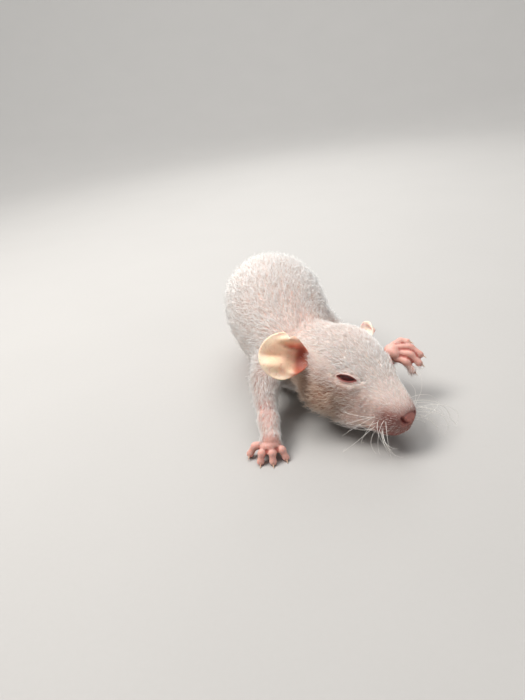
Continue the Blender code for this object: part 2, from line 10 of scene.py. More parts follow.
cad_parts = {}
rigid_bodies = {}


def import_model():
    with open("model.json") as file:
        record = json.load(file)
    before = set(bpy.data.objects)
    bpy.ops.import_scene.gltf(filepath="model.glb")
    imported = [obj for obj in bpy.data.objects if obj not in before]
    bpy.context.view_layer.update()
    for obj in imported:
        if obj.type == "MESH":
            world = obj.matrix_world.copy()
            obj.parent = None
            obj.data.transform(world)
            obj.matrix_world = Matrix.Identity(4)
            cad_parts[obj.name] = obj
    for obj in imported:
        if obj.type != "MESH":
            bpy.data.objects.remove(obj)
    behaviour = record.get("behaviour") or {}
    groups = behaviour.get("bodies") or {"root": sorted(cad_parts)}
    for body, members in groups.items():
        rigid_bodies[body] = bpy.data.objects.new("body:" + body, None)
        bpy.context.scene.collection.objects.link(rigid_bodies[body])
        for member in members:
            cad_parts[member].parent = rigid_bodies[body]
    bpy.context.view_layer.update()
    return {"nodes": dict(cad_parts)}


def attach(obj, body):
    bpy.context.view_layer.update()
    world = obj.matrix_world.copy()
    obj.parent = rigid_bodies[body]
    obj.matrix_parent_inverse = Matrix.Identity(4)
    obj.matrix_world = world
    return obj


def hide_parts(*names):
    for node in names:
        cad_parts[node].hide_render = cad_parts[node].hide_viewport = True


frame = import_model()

mm = 0.001
cad = frame["nodes"]
scene = bpy.context.scene


def unit(v):
    v = np.asarray(v, float)
    return v / np.maximum(np.linalg.norm(v, axis=-1, keepdims=True), 1e-9)


def ramp(low, high, x):
    t = np.clip((x - low) / (high - low), 0.0, 1.0)
    return t * t * (3 - 2 * t)


def hump(x, width):
    return np.exp(-(x / width) ** 2)


def curveThrough(rows, steps):
    # a smooth curve through rows of numbers
    rows = np.array(rows, float)
    last = len(rows) - 1
    found = []
    for i in range(last):
        a, b, c, d = rows[max(i - 1, 0)], rows[i], rows[i + 1], rows[min(i + 2, last)]
        for k in range(steps):
            t = k / steps
            found.append(0.5 * (2 * b + (c - a) * t + (2 * a - 5 * b + 4 * c - d) * t**2
                                + (3 * b - a - 3 * c + d) * t**3))
    found.append(rows[last])
    return np.array(found)


def ringFaces(rings, sides):
    # the four corners of each face between one ring of points and the next
    found = []
    for i in range(rings - 1):
        for k in range(sides):
            n = (k + 1) % sides
            found.append((i * sides + k, (i + 1) * sides + k, (i + 1) * sides + n, i * sides + n))
    return found


def sweep(rows, sides, flat=1.0, pointed=False):
    # a closed tube through rows of x, y, z, radius; pointed tubes end in one vertex
    rows = np.asarray(rows, float)
    places, radii = rows[:, :3], rows[:, 3]
    ahead = unit(np.gradient(places, axis=0))
    side = unit(np.cross(ahead[0], (0.0, 0.0, 1.0) if abs(ahead[0][2]) < 0.9 else (1.0, 0.0, 0.0)))
    verts = []
    turns = np.arange(sides) * math.tau / sides
    for i, place in enumerate(places):
        side = unit(side - ahead[i] * side.dot(ahead[i]))
        up = np.cross(side, ahead[i])
        if pointed and i == len(places) - 1:
            verts.append(place)
            break
        for turn in turns:
            verts.append(place + radii[i] * (side * math.cos(turn) + up * flat * math.sin(turn)))
    rings = len(places) - (1 if pointed else 0)
    faces = ringFaces(rings, sides)
    start = (rings - 1) * sides
    if pointed:
        faces += [(start + k, len(verts) - 1, start + (k + 1) % sides) for k in range(sides)]
    else:
        faces.append(tuple(start + k for k in reversed(range(sides))))
    faces.append(tuple(range(sides)))
    return np.array(verts), faces


def rounded(rows):
    # adds shrinking rows at both ends, so that a tube ends round
    rows = [tuple(row) for row in rows]
    before, after = [], []
    for end, nextOne, found in ((rows[0], rows[1], before), (rows[-1], rows[-2], after)):
        way = unit(np.subtract(end[:3], nextOne[:3]))
        for angle in (25, 50, 72, 86):
            a = math.radians(angle)
            found.append((*(np.array(end[:3]) + way * end[3] * math.sin(a)), end[3] * math.cos(a)))
    return before[::-1] + rows + after


def ellipsoid(place, radii, turn=None, finer=4):
    ball = bmesh.new()
    bmesh.ops.create_icosphere(ball, subdivisions=finer, radius=1.0)
    verts = np.array([v.co for v in ball.verts]) * radii
    faces = [tuple(v.index for v in f.verts) for f in ball.faces]
    ball.free()
    if turn is not None:
        verts = verts @ np.array(turn).T
    return verts + np.array(place, float), faces


def meshOf(name, shapes):
    # one mesh of several (vertices, faces)
    verts, faces, start = [], [], 0
    for points, polygons in shapes:
        verts.append(points)
        faces += [tuple(i + start for i in f) for f in polygons]
        start += len(points)
    mesh = bpy.data.meshes.new(name)
    mesh.from_pydata(np.concatenate(verts).tolist(), [], faces)
    mesh.update()
    return mesh


def shadeSmooth(mesh):
    mesh.polygons.foreach_set("use_smooth", [True] * len(mesh.polygons))


def objectOf(data, name):
    obj = bpy.data.objects.new(name, data)
    scene.collection.objects.link(obj)
    return obj


def applied(obj):
    # puts what the modifiers make into the object's own mesh
    bpy.context.view_layer.update()
    mesh = bpy.data.meshes.new_from_object(obj.evaluated_get(bpy.context.evaluated_depsgraph_get()))
    obj.modifiers.clear()
    old = obj.data
    obj.data = mesh
    bpy.data.meshes.remove(old)
    return mesh


def pointsOf(mesh, what="co"):
    found = np.empty(len(mesh.vertices) * 3, np.float32)
    mesh.vertices.foreach_get(what, found)
    return found.reshape(-1, 3).astype(float)


def setPoints(mesh, points):
    mesh.vertices.foreach_set("co", np.asarray(points, np.float32).ravel())
    mesh.update()


def spread(mesh, values, rounds, share=0.5):
    # evens a value out between neighbours
    ends = np.empty(len(mesh.edges) * 2, np.int32)
    mesh.edges.foreach_get("vertices", ends)
    ends = ends.reshape(-1, 2)
    here, there = np.concatenate([ends[:, 0], ends[:, 1]]), np.concatenate([ends[:, 1], ends[:, 0]])
    count = len(mesh.vertices)
    near = np.maximum(np.bincount(here, minlength=count), 1)
    values = np.array(values, float)
    flat = values.reshape(count, -1)
    for _ in range(rounds):
        for c in range(flat.shape[1]):
            mean = np.bincount(here, flat[there, c], minlength=count) / near
            flat[:, c] += share * (mean - flat[:, c])
    return flat.reshape(values.shape)


def storeField(mesh, name, values):
    values = np.asarray(values, np.float32)
    kind = {1: "FLOAT", 3: "FLOAT_VECTOR", 4: "FLOAT_COLOR"}[1 if values.ndim == 1 else values.shape[1]]
    field = mesh.attributes.new(name, kind, "POINT")
    field.data.foreach_set({"FLOAT": "value", "FLOAT_VECTOR": "vector", "FLOAT_COLOR": "color"}[kind],
                           values.ravel())


def finishPiece(obj, replaced=()):
    # brings a piece from millimetres to metres and joins it to the frame
    obj.data.transform(Matrix.Scale(mm, 4))
    obj.data.update()
    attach(obj, "root")
    if replaced:
        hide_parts(*replaced)


# The head's own axes: it faces -Y from the back of the skull, its left is +X
headPose = {"base": (6.0, -10.2, 20.4), "turn": 34.0, "droop": 13.5, "lean": 7.0}
headTurn = np.array((Matrix.Rotation(math.radians(headPose["turn"]), 3, "Z")
                     @ Matrix.Rotation(math.radians(headPose["droop"]), 3, "X")
                     @ Matrix.Rotation(math.radians(headPose["lean"]), 3, "Y")))


def toHead(points):
    return (np.asarray(points, float) - headPose["base"]) @ headTurn


def fromHead(points):
    return np.asarray(points, float) @ headTurn.T + headPose["base"]


def headWay(way):
    return np.asarray(way, float) @ headTurn.T


# The head's form. Each row: share of the length, height of the centre, half width,
# height above and depth below it
headForm = {
    "length": 38.0,
    "rows": [
        (-0.08, -7.0, 7.5, 4.6, 5.0),
        (0.00, -5.0, 9.0, 6.4, 7.0),
        (0.14, -2.0, 10.9, 9.6, 10.4),
        (0.32, -0.6, 11.6, 10.4, 12.0),
        (0.48, -0.8, 10.8, 9.6, 11.6),
        (0.62, -1.6, 9.0, 8.0, 10.9),
        (0.76, -2.4, 7.4, 6.4, 9.5),
        (0.88, -3.0, 6.2, 5.0, 7.4),
        (0.96, -3.4, 4.8, 3.8, 5.2),
        (1.00, -3.6, 2.4, 2.0, 2.6),
    ],
    "squareness": 0.92,
    "steps": 6,
    "sides": 48,
    # what fills it out on both sides: where it is (left, back, up) and its radii
    "fillings": {
        "cheek": ((7.4, -14.5, -5.4), (5.2, 8.4, 6.6)),
        "jowl": ((4.7, -20.6, -7.0), (4.9, 9.4, 5.5)),
        "lids": ((6.4, -21.0, 2.1), (3.5, 4.3, 3.5)),
        "whiskerPad": ((3.6, -32.2, -4.8), (3.2, 4.4, 3.6)),
        "nose": ((0.8, -37.0, -2.2), (1.4, 1.6, 1.3)),
    },
}


def headShapes():
    rows = curveThrough(headForm["rows"], headForm["steps"])
    sides, power = headForm["sides"], headForm["squareness"]
    verts = []
    for share, rise, wide, above, below in rows:
        for k in range(sides):
            c, s = math.cos(math.tau * k / sides), math.sin(math.tau * k / sides)
            verts.append((wide * math.copysign(abs(c) ** power, c), -share * headForm["length"],
                          rise + (above if s > 0 else below) * math.copysign(abs(s) ** power, s)))
    faces = [(a, d, c, b) for a, b, c, d in ringFaces(len(rows), sides)]
    faces.append(tuple(reversed(range(sides))))
    faces.append(tuple((len(rows) - 1) * sides + k for k in range(sides)))
    shapes = [(np.array(verts), faces)]
    for place, radii in headForm["fillings"].values():
        for side in (1, -1):
            shapes.append(ellipsoid((side * place[0], *place[1:]), radii))
    return [(fromHead(points), polygons) for points, polygons in shapes]


# Paws: a palm, and for each digit where it leaves, bends and ends
paws = {
    "foreRight": {
        "palm": ((-9.5, -34.2, 3.1), (2.9, 2.8, 1.9), (-28.0, 0.0, 8.0)),
        "digits": [
            ((-11.2, -33.8, 3.0), (-13.5, -33.7, 3.0), (-15.0, -34.2, 1.2)),
            ((-10.6, -35.2, 2.7), (-11.9, -36.6, 2.7), (-12.5, -37.5, 0.8)),
            ((-9.2, -35.6, 2.6), (-9.2, -37.2, 2.7), (-9.3, -38.3, 0.8)),
            ((-7.8, -35.0, 2.5), (-6.6, -36.3, 2.6), (-5.9, -37.2, 0.8)),
        ],
        "clawWay": (0.0, -1.3, 0.25),
        "wrist": [(-9.0, -29.0, 6.8, 2.8), (-9.0, -32.0, 5.5, 2.5), (-9.1, -33.6, 4.5, 2.4)],
    },
    "foreLeft": {
        "palm": ((29.5, -13.1, 13.6), (3.0, 2.7, 2.0), (0.0, 24.0, -30.0)),
        "digits": [
            ((29.9, -11.7, 15.0), (31.9, -11.9, 16.2), (33.4, -12.9, 16.2)),
            ((30.6, -12.8, 14.8), (33.8, -14.0, 15.1), (36.2, -16.0, 13.3)),
            ((30.3, -14.0, 13.7), (33.4, -15.8, 13.6), (35.4, -17.6, 11.5)),
            ((29.8, -14.8, 12.5), (32.0, -16.8, 11.9), (33.3, -18.0, 9.6)),
        ],
        "clawWay": (0.5, -0.5, 0.1),
        "wrist": [(28.0, -9.4, 8.6, 2.5), (28.6, -11.8, 12.2, 2.3), (29.3, -12.8, 13.8, 2.3)],
    },
    # the right hind foot; the left one mirrors it
    "hind": {
        "sole": [(-8.4, 31.0, 2.2, 1.6), (-8.5, 27.0, 2.2, 2.0), (-8.6, 20.0, 1.9, 1.9),
                 (-8.8, 13.0, 1.7, 2.3), (-8.9, 9.0, 1.6, 2.7), (-8.9, 7.0, 1.5, 2.3)],
        "flat": 0.72,
        "digits": [
            ((-10.4, 9.4, 1.3), (-11.2, 7.4, 1.8), (-11.5, 5.6, 0.8)),
            ((-10.1, 7.6, 1.4), (-11.1, 4.4, 2.0), (-11.6, 2.2, 0.8)),
            ((-9.0, 7.2, 1.4), (-9.3, 3.6, 2.0), (-9.6, 1.2, 0.8)),
            ((-7.9, 7.6, 1.4), (-7.6, 4.2, 1.9), (-7.6, 2.0, 0.8)),
            ((-7.0, 9.0, 1.3), (-6.1, 7.2, 1.7), (-5.7, 5.4, 0.8)),
        ],
        "clawWay": (0.0, -1.0, 0.15),
        "shift": -0.6,
    },
    # radius of a digit from its root to its tip: the root, the bone, the knuckle, the bone, the pad
    "digitRadii": (1.08, 0.90, 1.02, 0.78, 0.90),
    "foreStout": 1.14,      # the digits of the forepaws are stouter
    "clawLength": 2.0,
    "clawRadius": 0.34,
    "clawFlat": 0.8,
    "clawClearance": 0.02,  # between a claw and the floor
    "sides": {"paw": 20, "digit": 14, "claw": 10},
}


def digitRows(digit, stout=1.0):
    base, bend, end = (np.array(p, float) for p in digit)
    spots = [base, (base + bend) / 2, bend, (bend + end) / 2, end]
    spots[1] = spots[1] + (0, 0, 0.12)
    spots[3] = spots[3] + (0, 0, 0.10)
    return curveThrough([(*p, r * stout) for p, r in zip(spots, paws["digitRadii"])], 4)


def clawRows(digit, clawWay):
    _, bend, end = (np.array(p, float) for p in digit)
    way = unit(unit(end - bend) + np.array(clawWay))
    rows = []
    for t in np.linspace(0.0, 1.0, 9):
        place = end + way * paws["clawLength"] * t + np.array((0, 0, 0.25 - 0.6 * t * t + 0.1 * t))
        radius = paws["clawRadius"] * (1 - t) ** 0.75 + 0.02
        rows.append((*place[:2], max(place[2], radius + paws["clawClearance"]), radius))
    return rows


def clawShape(digit, clawWay):
    return sweep(clawRows(digit, clawWay), paws["sides"]["claw"], paws["clawFlat"], pointed=True)


def mirrorHind(shape, side):
    verts, faces = shape
    verts = verts * (1.0 if side > 0 else -1.0, 1.0, 1.0) + (paws["hind"]["shift"], 0.0, 0.0)
    return verts, faces if side > 0 else [tuple(reversed(f)) for f in faces]


def pawShapes():
    # soft parts by name, and all the claws
    soft, claws, sides = {}, [], paws["sides"]
    for name in ("foreRight", "foreLeft"):
        paw = paws[name]
        place, radii, (tx, ty, tz) = paw["palm"]
        turn = (Matrix.Rotation(math.radians(tz), 3, "Z") @ Matrix.Rotation(math.radians(ty), 3, "Y")
                @ Matrix.Rotation(math.radians(tx), 3, "X"))
        wrist = sweep(rounded(curveThrough(paw["wrist"], 4)), sides["paw"])
        soft[name] = [ellipsoid(place, radii, turn), wrist]
        for digit in paw["digits"]:
            soft[name].append(sweep(rounded(digitRows(digit, paws["foreStout"])), sides["digit"]))
            claws.append(clawShape(digit, paw["clawWay"]))
    paw = paws["hind"]
    for side, name in ((1, "hindRight"), (-1, "hindLeft")):
        parts = [sweep(rounded(curveThrough(paw["sole"], 4)), sides["paw"], flat=paw["flat"])]
        for digit in paw["digits"]:
            parts.append(sweep(rounded(digitRows(digit)), sides["digit"]))
            claws.append(mirrorHind(clawShape(digit, paw["clawWay"]), side))
        soft[name] = [mirrorHind(part, side) for part in parts]
    return soft, claws


# Ears: a round thin sheet, cupped and folded, that grows out of the head. Places are the left ear's own
ears = {
    "left": {"place": (11.0, -13.1, -0.7), "upward": (0.55, 0.82, -0.18),
             "outward": (0.83, -0.52, 0.21)},
    "right": {"place": (9.9, -9.4, 1.6), "upward": (0.705, 0.705, -0.02),
              "outward": (0.574, -0.5, 0.648)},
    "height": 13.2,
    "width": 12.8,
    "cup": 2.2,
    "thickBase": 0.85,
    "thickRim": 0.5,
    # what stands out of the sheet: how far, where and how wide across it, where and how wide up it
    "relief": {
        "upperLobe": (0.8, -2.8, 2.2, 0.62, 0.30),
        "lowerLobe": (1.6, 2.7, 1.9, 0.64, 0.30),
        "frontFold": (1.7, -4.3, 0.9, 0.40, 0.17),
        "frontFurrow": (-1.0, -2.9, 0.7, 0.38, 0.15),
        "hollow": (-1.1, 0.0, 3.0, 0.22, 0.15),
        "rootFold": (1.1, 4.0, 0.9, 0.20, 0.15),
    },
    "crease": 0.38,      # between the lobes, up to the tip
    "notch": 0.2,        # in the front edge of the right ear
    "outside": 0.5,
    "rings": 34,
    "sectors": 112,
}


def earShape(side):
    form = ears["left" if side > 0 else "right"]
    upward = unit(form["upward"])
    across = unit(np.cross(upward, form["outward"]))
    outward = np.cross(across, upward)
    tallest, widest = ears["height"], ears["width"]
    rings, sectors = ears["rings"], ears["sectors"]
    front, back, marks = [], [], []
    for ring in range(rings + 1):
        share = ring / rings
        for k in range(sectors):
            angle = math.tau * k / sectors
            tall = tallest * (0.46 + 0.54 * share * math.cos(angle))
            level = tall / tallest
            narrow = 1.0 - 0.42 * max(0.0, 1.0 - tall / (0.5 * tallest)) ** 1.5
            wide = widest / 2 * share * math.sin(angle) * narrow
            edge = abs(2 * wide / widest)
            if wide < 0:
                wide *= 1 - (ears["notch"] if side < 0 else 0.0) * hump(level - 0.43, 0.06)
            lift = ears["cup"] * edge**2 * (1.25 - 0.75 * level) + 0.9 * (level - 0.5) ** 2 + ears["outside"]
            for high, at, width, upAt, upWidth in ears["relief"].values():
                lift += high * hump(wide - at, width) * hump(level - upAt, upWidth)
            lift -= (ears["crease"] * hump(wide - 0.2, 0.75) * ramp(0.4, 0.7, level)
                     * (1 - 0.9 * ramp(0.8, 0.95, level)))
            marks.append((level, wide, share))
            centre = np.array(form["place"]) + upward * tall + across * wide + outward * lift
            thick = ears["thickRim"] + (ears["thickBase"] - ears["thickRim"]) * (1 - share)
            thick *= math.sqrt(max(0.0, 1 - max(0.0, (share - 0.94) / 0.06) ** 2) * 0.9 + 0.1)
            front.append(centre + outward * thick / 2)
            back.append(centre - outward * thick / 2)
    verts = np.array(front + back)
    half, rim = len(front), rings * sectors
    faces = []
    for a, b, c, d in ringFaces(rings + 1, sectors):
        faces += [(d, c, b, a), (a + half, b + half, c + half, d + half)]
    for k in range(sectors):
        n = (k + 1) % sectors
        faces.append((rim + n, rim + n + half, rim + k + half, rim + k))
    if side < 0:
        verts = verts * (-1.0, 1.0, 1.0)
        faces = [tuple(reversed(f)) for f in faces]
    return (fromHead(verts), faces), np.array(marks)


def makeEar(side, name):
    shape, marks = earShape(side)
    piece = objectOf(meshOf(name, [shape]), name)
    level, wide, share = marks.T
    # the left ear shows paler, lit from in front
    strong = 1.0 if side < 0 else 0.3
    # painted shade: golden in the crease between the lobes and darker in the fold by the front edge; the
    # hollow near the root is the ear's own redder skin with painted shade added
    crease = hump(wide - 0.2, 0.5) * ramp(0.4, 0.7, level) * (1 - ramp(0.78, 0.95, level))
    within = strong * ramp(-4.4, -2.6, wide)
    lobe = layered(
        "earLobe" if side < 0 else "earBack", len(marks),
        ("earRim", strong * ramp(0.55, 1.0, share)),
        ("paintedGoldenShade", 0.25 * strong * crease),
        ("earHollow", 0.7 * strong * hump(wide + 3.0, 0.55) * hump(level - 0.36, 0.12)),
        ("earHollow", 0.25 * strong * ramp(0.62, 0.3, level)),
        ("earHollow", within * ramp(0.33, 0.17, level)),
        ("earDeep", 0.9 * within * hump(level - 0.14, 0.09) * hump(wide, 3.6)),
    )
    behind = layered("earBack", len(marks), ("earRim", strong * ramp(0.7, 1.0, share)))
    storeTint(piece.data, np.concatenate([lobe, behind]))
    dress(piece, earMaterial)
    finishPiece(piece, ["ear_left" if side > 0 else "ear_right"])


# The skin: one soft surface of all the flesh, a coat's depth inside the solids but for its fillings
skinForm = {
    "voxel": 0.22,
    "grow": 0.2,         # closes the gaps between the solids
    "smoothRounds": 420,
    "keptFaces": 94000,
    "faceFewer": 0.12,
    "coatDepth": {
        "torso": 1.05, "neck": 1.0, "head": 0.55, "muzzle": 0.22, "lower_jaw": 0.45,
        "foreleg_right": 0.7, "foreleg_left": 0.7, "hind_leg_right": 0.9, "hind_leg_left": 0.9,
    },
    "softness": {
        "torso": 1.0, "neck": 1.0, "head": 0.2,
        "foreleg_right": 0.2, "foreleg_left": 0.2, "hind_leg_right": 0.35, "hind_leg_left": 0.35,
        "tail_base": 0.2, "tail_middle": 0.12, "tail_tip": 0.08,
    },
    "skullSoftness": 1.0,  # at the back of the head, where the neck takes over
    "jawSoftness": 0.45,
    "pawSoftness": 0.02,
    # what fills the hollows between the solids: behind the skull, at the left shoulder, under the rump
    "fillings": [
        ("neck", (7.6, -12.2, 20.2), (6.8, 6.4, 5.0)),
        ("torso", (10.2, 0.5, 16.2), (7.2, 8.5, 7.2)),
        ("torso", (-3.1, 30.2, 13.0), (7.4, 7.8, 10.4)),
    ],
}
headNodes = ["head", "muzzle", "lower_jaw"]
tailNodes = ["tail_base", "tail_middle", "tail_tip"]
bodyNodes = [name for name in skinForm["coatDepth"] if name not in headNodes] + tailNodes
pawNodes = {"foreRight": "forepaw_right", "foreLeft": "forepaw_left",
            "hindRight": "hind_foot_right", "hindLeft": "hind_foot_left"}


def nodeShape(name):
    # a solid's surface in millimetres
    shape = bmesh.new()
    shape.from_mesh(cad[name].data)
    shape.transform(Matrix.Scale(1 / mm, 4))
    bmesh.ops.remove_doubles(shape, verts=shape.verts, dist=0.002)
    verts = np.array([v.co for v in shape.verts])
    faces = [tuple(v.index for v in f.verts) for f in shape.faces]
    shape.free()
    return verts, faces


def grown(shape, amount):
    verts, faces = shape
    mesh = meshOf("grown", [shape])
    verts = verts + pointsOf(mesh, "normal") * amount
    bpy.data.meshes.remove(mesh)
    return verts, faces


def vertexGroup(obj, name, weights):
    group = obj.vertex_groups.new(name=name)
    levels = np.round(np.asarray(weights) * 20).astype(int)
    for level in range(1, 21):
        group.add(np.flatnonzero(levels == level).tolist(), level / 20, "REPLACE")


# The face. Places are the left side's own, in the head's axes
face = {
    "eye": {
        "place": (6.4, -21.0, 2.1),
        "radius": 2.7,
        "outward": (0.8, -0.3, 0.5),
        "tilt": 20.0,
        "slit": (4.7, 1.25),
        "slitDeep": 1.15,
        "lidOver": 0.22,
        # how high, how far from the slit, how wide, and on which lid
        "folds": [
            (0.14, 0.24, 0.20, "both"), (-0.18, 0.85, 0.24, "upper"), (0.50, 1.70, 0.80, "upper"),
            (-0.16, 0.80, 0.18, "lower"), (-0.13, 1.45, 0.20, "lower"), (-0.10, 2.20, 0.24, "lower"),
        ],
    },
    "nostril": {"path": ((0.95, -2.75), (1.5, -2.75), (2.15, -2.1), (2.45, -1.45)),
                "deep": 0.75, "wide": 0.36, "rim": 0.16},
    "noseLeather": {"centre": -2.4, "size": (2.75, 1.75), "edge": 0.22},
    "philtrum": {"from": -3.3, "to": -7.0, "deep": 0.34, "wide": 0.26},
    "mouth": {
        "rows": ((-38.5, -7.0), (-36.5, -6.9), (-34.0, -7.0), (-31.0, -7.6), (-27.0, -8.0)),
        "deep": 0.55,
        "wide": 0.3,
        "ends": -27.5,
        "lips": ((0.24, 0.85, 0.6), (0.08, -0.7, 0.4)),    # how full, how far from the line, how wide
    },
    "follicles": {"step": (1.25, 1.15), "high": 0.09},
    "neckFolds": {"step": 1.9, "deep": 0.6, "middle": 2.2, "reach": 3.2, "bow": 0.035},
}


def eyeAxes():
    outward = unit(face["eye"]["outward"])
    ahead = np.array((0.0, -1.0, 0.0))
    along = unit(ahead - outward * outward[1] * -1.0)
    turn = Matrix.Rotation(math.radians(-face["eye"]["tilt"]), 3, Vector(outward))
    along = np.array(turn @ Vector(along))
    return outward, along, np.cross(outward, along)


def leftSide(points):
    # points in the head's axes, all brought to the left side
    local = toHead(points)
    local[:, 0] = np.abs(local[:, 0])
    return local


def lidEdge(local):
    # how far a point is outside the opening of the lids, less than 0 within it
    outward, along, across = eyeAxes()
    ray = local - face["eye"]["place"]
    a, b, h = ray @ along, ray @ across, ray @ outward
    half, high = face["eye"]["slit"][0] / 2, face["eye"]["slit"][1] / 2
    edge = high * np.maximum(0.0, 1 - (a / half) ** 2) ** 0.8
    away = np.where(np.abs(a) < half, np.abs(b) - edge, np.hypot(np.abs(a) - half, b))
    return np.where(h > 0, away, 9.0), b, np.linalg.norm(ray, axis=1)


def mouthLine(y):
    rows = np.array(face["mouth"]["rows"])
    return np.interp(y, rows[:, 0], rows[:, 1])


def alongPath(points, path):
    # how far each point is from a path of straight pieces, and how far along it
    path = np.asarray(path, float)
    apart, way, start = np.full(len(points), np.inf), np.zeros(len(points)), 0.0
    for a, b in zip(path[:-1], path[1:]):
        t = np.clip((points - a) @ (b - a) / ((b - a) @ (b - a)), 0, 1)
        here = np.linalg.norm(points - a - t[:, None] * (b - a), axis=1)
        length = np.linalg.norm(b - a)
        way = np.where(here < apart, start + t * length, way)
        apart = np.minimum(here, apart)
        start += length
    return apart, way


def nostrilDistance(local):
    return alongPath(local[:, [0, 2]], face["nostril"]["path"])[0]


def leatherRing(local):
    # 1 at the edge of the nose leather, less within it
    leather = face["noseLeather"]
    return np.hypot(local[:, 0] / leather["size"][0], (local[:, 2] - leather["centre"]) / leather["size"][1])


def partWeights(mesh, parts, rounds):
    # how much each point belongs to each part, evened out over the joins
    return {name: spread(mesh, mask.astype(float), rounds) for name, mask in parts.items()}


def refineFace(mesh):
    # smaller faces around the eyes, the nose and the line of the mouth
    for reach in (1.6, 0.9):
        local = leftSide(pointsOf(mesh))
        away = lidEdge(local)[0]
        mouthNear = (np.abs(local[:, 2] - mouthLine(local[:, 1])) < reach * 0.8) & (local[:, 1] < -27.0)
        noseNear = (local[:, 1] < -35.6) & (local[:, 2] > -6.8)
        near = (away < reach) | mouthNear | noseNear
        shape = bmesh.new()
        shape.from_mesh(mesh)
        shape.verts.ensure_lookup_table()
        edges = [e for e in shape.edges if near[e.verts[0].index] and near[e.verts[1].index]]
        bmesh.ops.subdivide_edges(shape, edges=edges, cuts=1, use_grid_fill=True)
        bmesh.ops.triangulate(shape, faces=[f for f in shape.faces if len(f.verts) > 3])
        shape.to_mesh(mesh)
        shape.free()
    mesh.update()


def napeFolds(mesh, parts):
    # folds across the nape, behind the skull: where they are, and their grooves
    local = toHead(pointsOf(mesh))
    upper = ramp(0.1, 0.6, pointsOf(mesh, "normal")[:, 2])
    form = face["neckFolds"]
    bow = local[:, 1] + form["bow"] * local[:, 0] ** 2 + 0.25 * np.sin(local[:, 0] * 0.9)
    behind = parts["neck"] | parts["torso"] | parts["head"]
    band = hump(bow - form["middle"], form["reach"]) * upper * behind
    band = spread(mesh, band, 6)
    return band, band * (0.5 + 0.5 * np.cos(math.tau * bow / form["step"])) ** 3


def foldNape(mesh, parts):
    band, groove = napeFolds(mesh, parts)
    setPoints(mesh, pointsOf(mesh) - pointsOf(mesh, "normal") * (face["neckFolds"]["deep"] * groove)[:, None])
    return band, groove


def sculptFace(mesh, parts):
    points, normals = pointsOf(mesh), pointsOf(mesh, "normal")
    local = leftSide(points)
    head = parts["head"] & (local[:, 1] < -8.0)
    # lids over the eyeball, and the slit between them
    form = face["eye"]
    away, above, distance = lidEdge(local)
    flip = np.where(toHead(points)[:, :1] < 0, -1.0, 1.0)
    centre = fromHead(np.array(form["place"]) * np.concatenate([flip, flip * 0 + 1, flip * 0 + 1], axis=1))
    lift = np.maximum(form["radius"] + form["lidOver"] - distance, 0.0) * (away < 2.0)
    lift -= form["slitDeep"] * ramp(0.10, -0.24, away)
    lids = {"both": 1.0, "upper": above > 0, "lower": above < 0}
    for high, place, width, lid in form["folds"]:
        lift += high * hump(away - place, width) * lids[lid]
    points += unit(points - centre) * (lift * head * (away < 4.0))[:, None]
    # nose: the nostrils, the edge of the leather and the groove under it
    nose = head * ramp(-35.9, -36.8, local[:, 1])
    form, line, high = face["nostril"], face["philtrum"], local[:, 2]
    apart = nostrilDistance(local)
    sink = form["deep"] * hump(apart, form["wide"]) - form["rim"] * hump(apart - 0.8, 0.35)
    sink += face["noseLeather"]["edge"] * hump(leatherRing(local) - 1, 0.11)
    within = ramp(line["to"] - 0.5, line["to"] + 0.3, high)
    within = within * ramp(line["from"] + 0.6, line["from"] - 0.2, high)
    sink += line["deep"] * hump(local[:, 0], line["wide"]) * within
    points -= normals * (sink * nose)[:, None]
    # mouth: a groove with a fuller lip above it
    form = face["mouth"]
    rise = high - mouthLine(local[:, 1])
    sink = form["deep"] * hump(rise, form["wide"])
    for full, place, width in form["lips"]:
        sink -= full * hump(rise - place, width)
    points -= normals * (sink * head * ramp(form["ends"], form["ends"] - 2.5, local[:, 1]))[:, None]
    # rows of follicles on the whisker pads
    form = face["follicles"]
    pad = head * hump(local[:, 1] + 32.6, 3.0) * hump(high + 4.4, 2.4)
    pad = pad * ramp(0.25, 0.6, np.abs(normals @ headTurn)[:, 0])
    wave = np.cos(math.tau * (local[:, 1] + 0.3 * high) / form["step"][0])
    wave *= np.cos(math.tau * high / form["step"][1])
    points += normals * (form["high"] * wave * pad)[:, None]
    setPoints(mesh, points)


# Colours are those of the photograph, named by what they cover; those named for shade are painted shade
palette = {
    "underCoat": "#E9C9BC", "paintedWarmShade": "#AF7C63", "crown": "#E2CFC6", "muzzle": "#8F5F57",
    "nose": "#A3665C", "nostril": "#6E2A27", "lidRim": "#7C3B35", "lids": "#C2938A", "mouth": "#9C5A54",
    "foreleg": "#C39D93", "paw": "#DDAC9F", "palm": "#B2594C", "knuckle": "#D49486", "tail": "#E6C2B5",
    "earLobe": "#F4D2B2", "earRim": "#F1DBC2", "earHollow": "#BC6A50", "earDeep": "#94402F",
    "earBack": "#F0DDD0", "hairTip": "#FEFDFB", "paintedRootShade": "#EBD8CC", "paintedGoldenShade": "#CBA680",
    "claw": "#D3AF98", "eye": "#430D0B", "whisker": "#FBF7F0", "floor": "#B1AFAC",
}


def linear(name):
    value = palette[name].lstrip("#")
    parts = np.array([int(value[i:i + 2], 16) / 255 for i in (0, 2, 4)])
    return np.where(parts <= 0.04045, parts / 12.92, ((parts + 0.055) / 1.055) ** 2.4)


def layered(first, count, *layers):
    # a colour for each point: the first one, then each layer's colour by its share
    colours = np.tile(linear(first), (count, 1))
    for name, share in layers:
        colours = colours + np.asarray(share)[:, None] * (linear(name) - colours)
    return colours


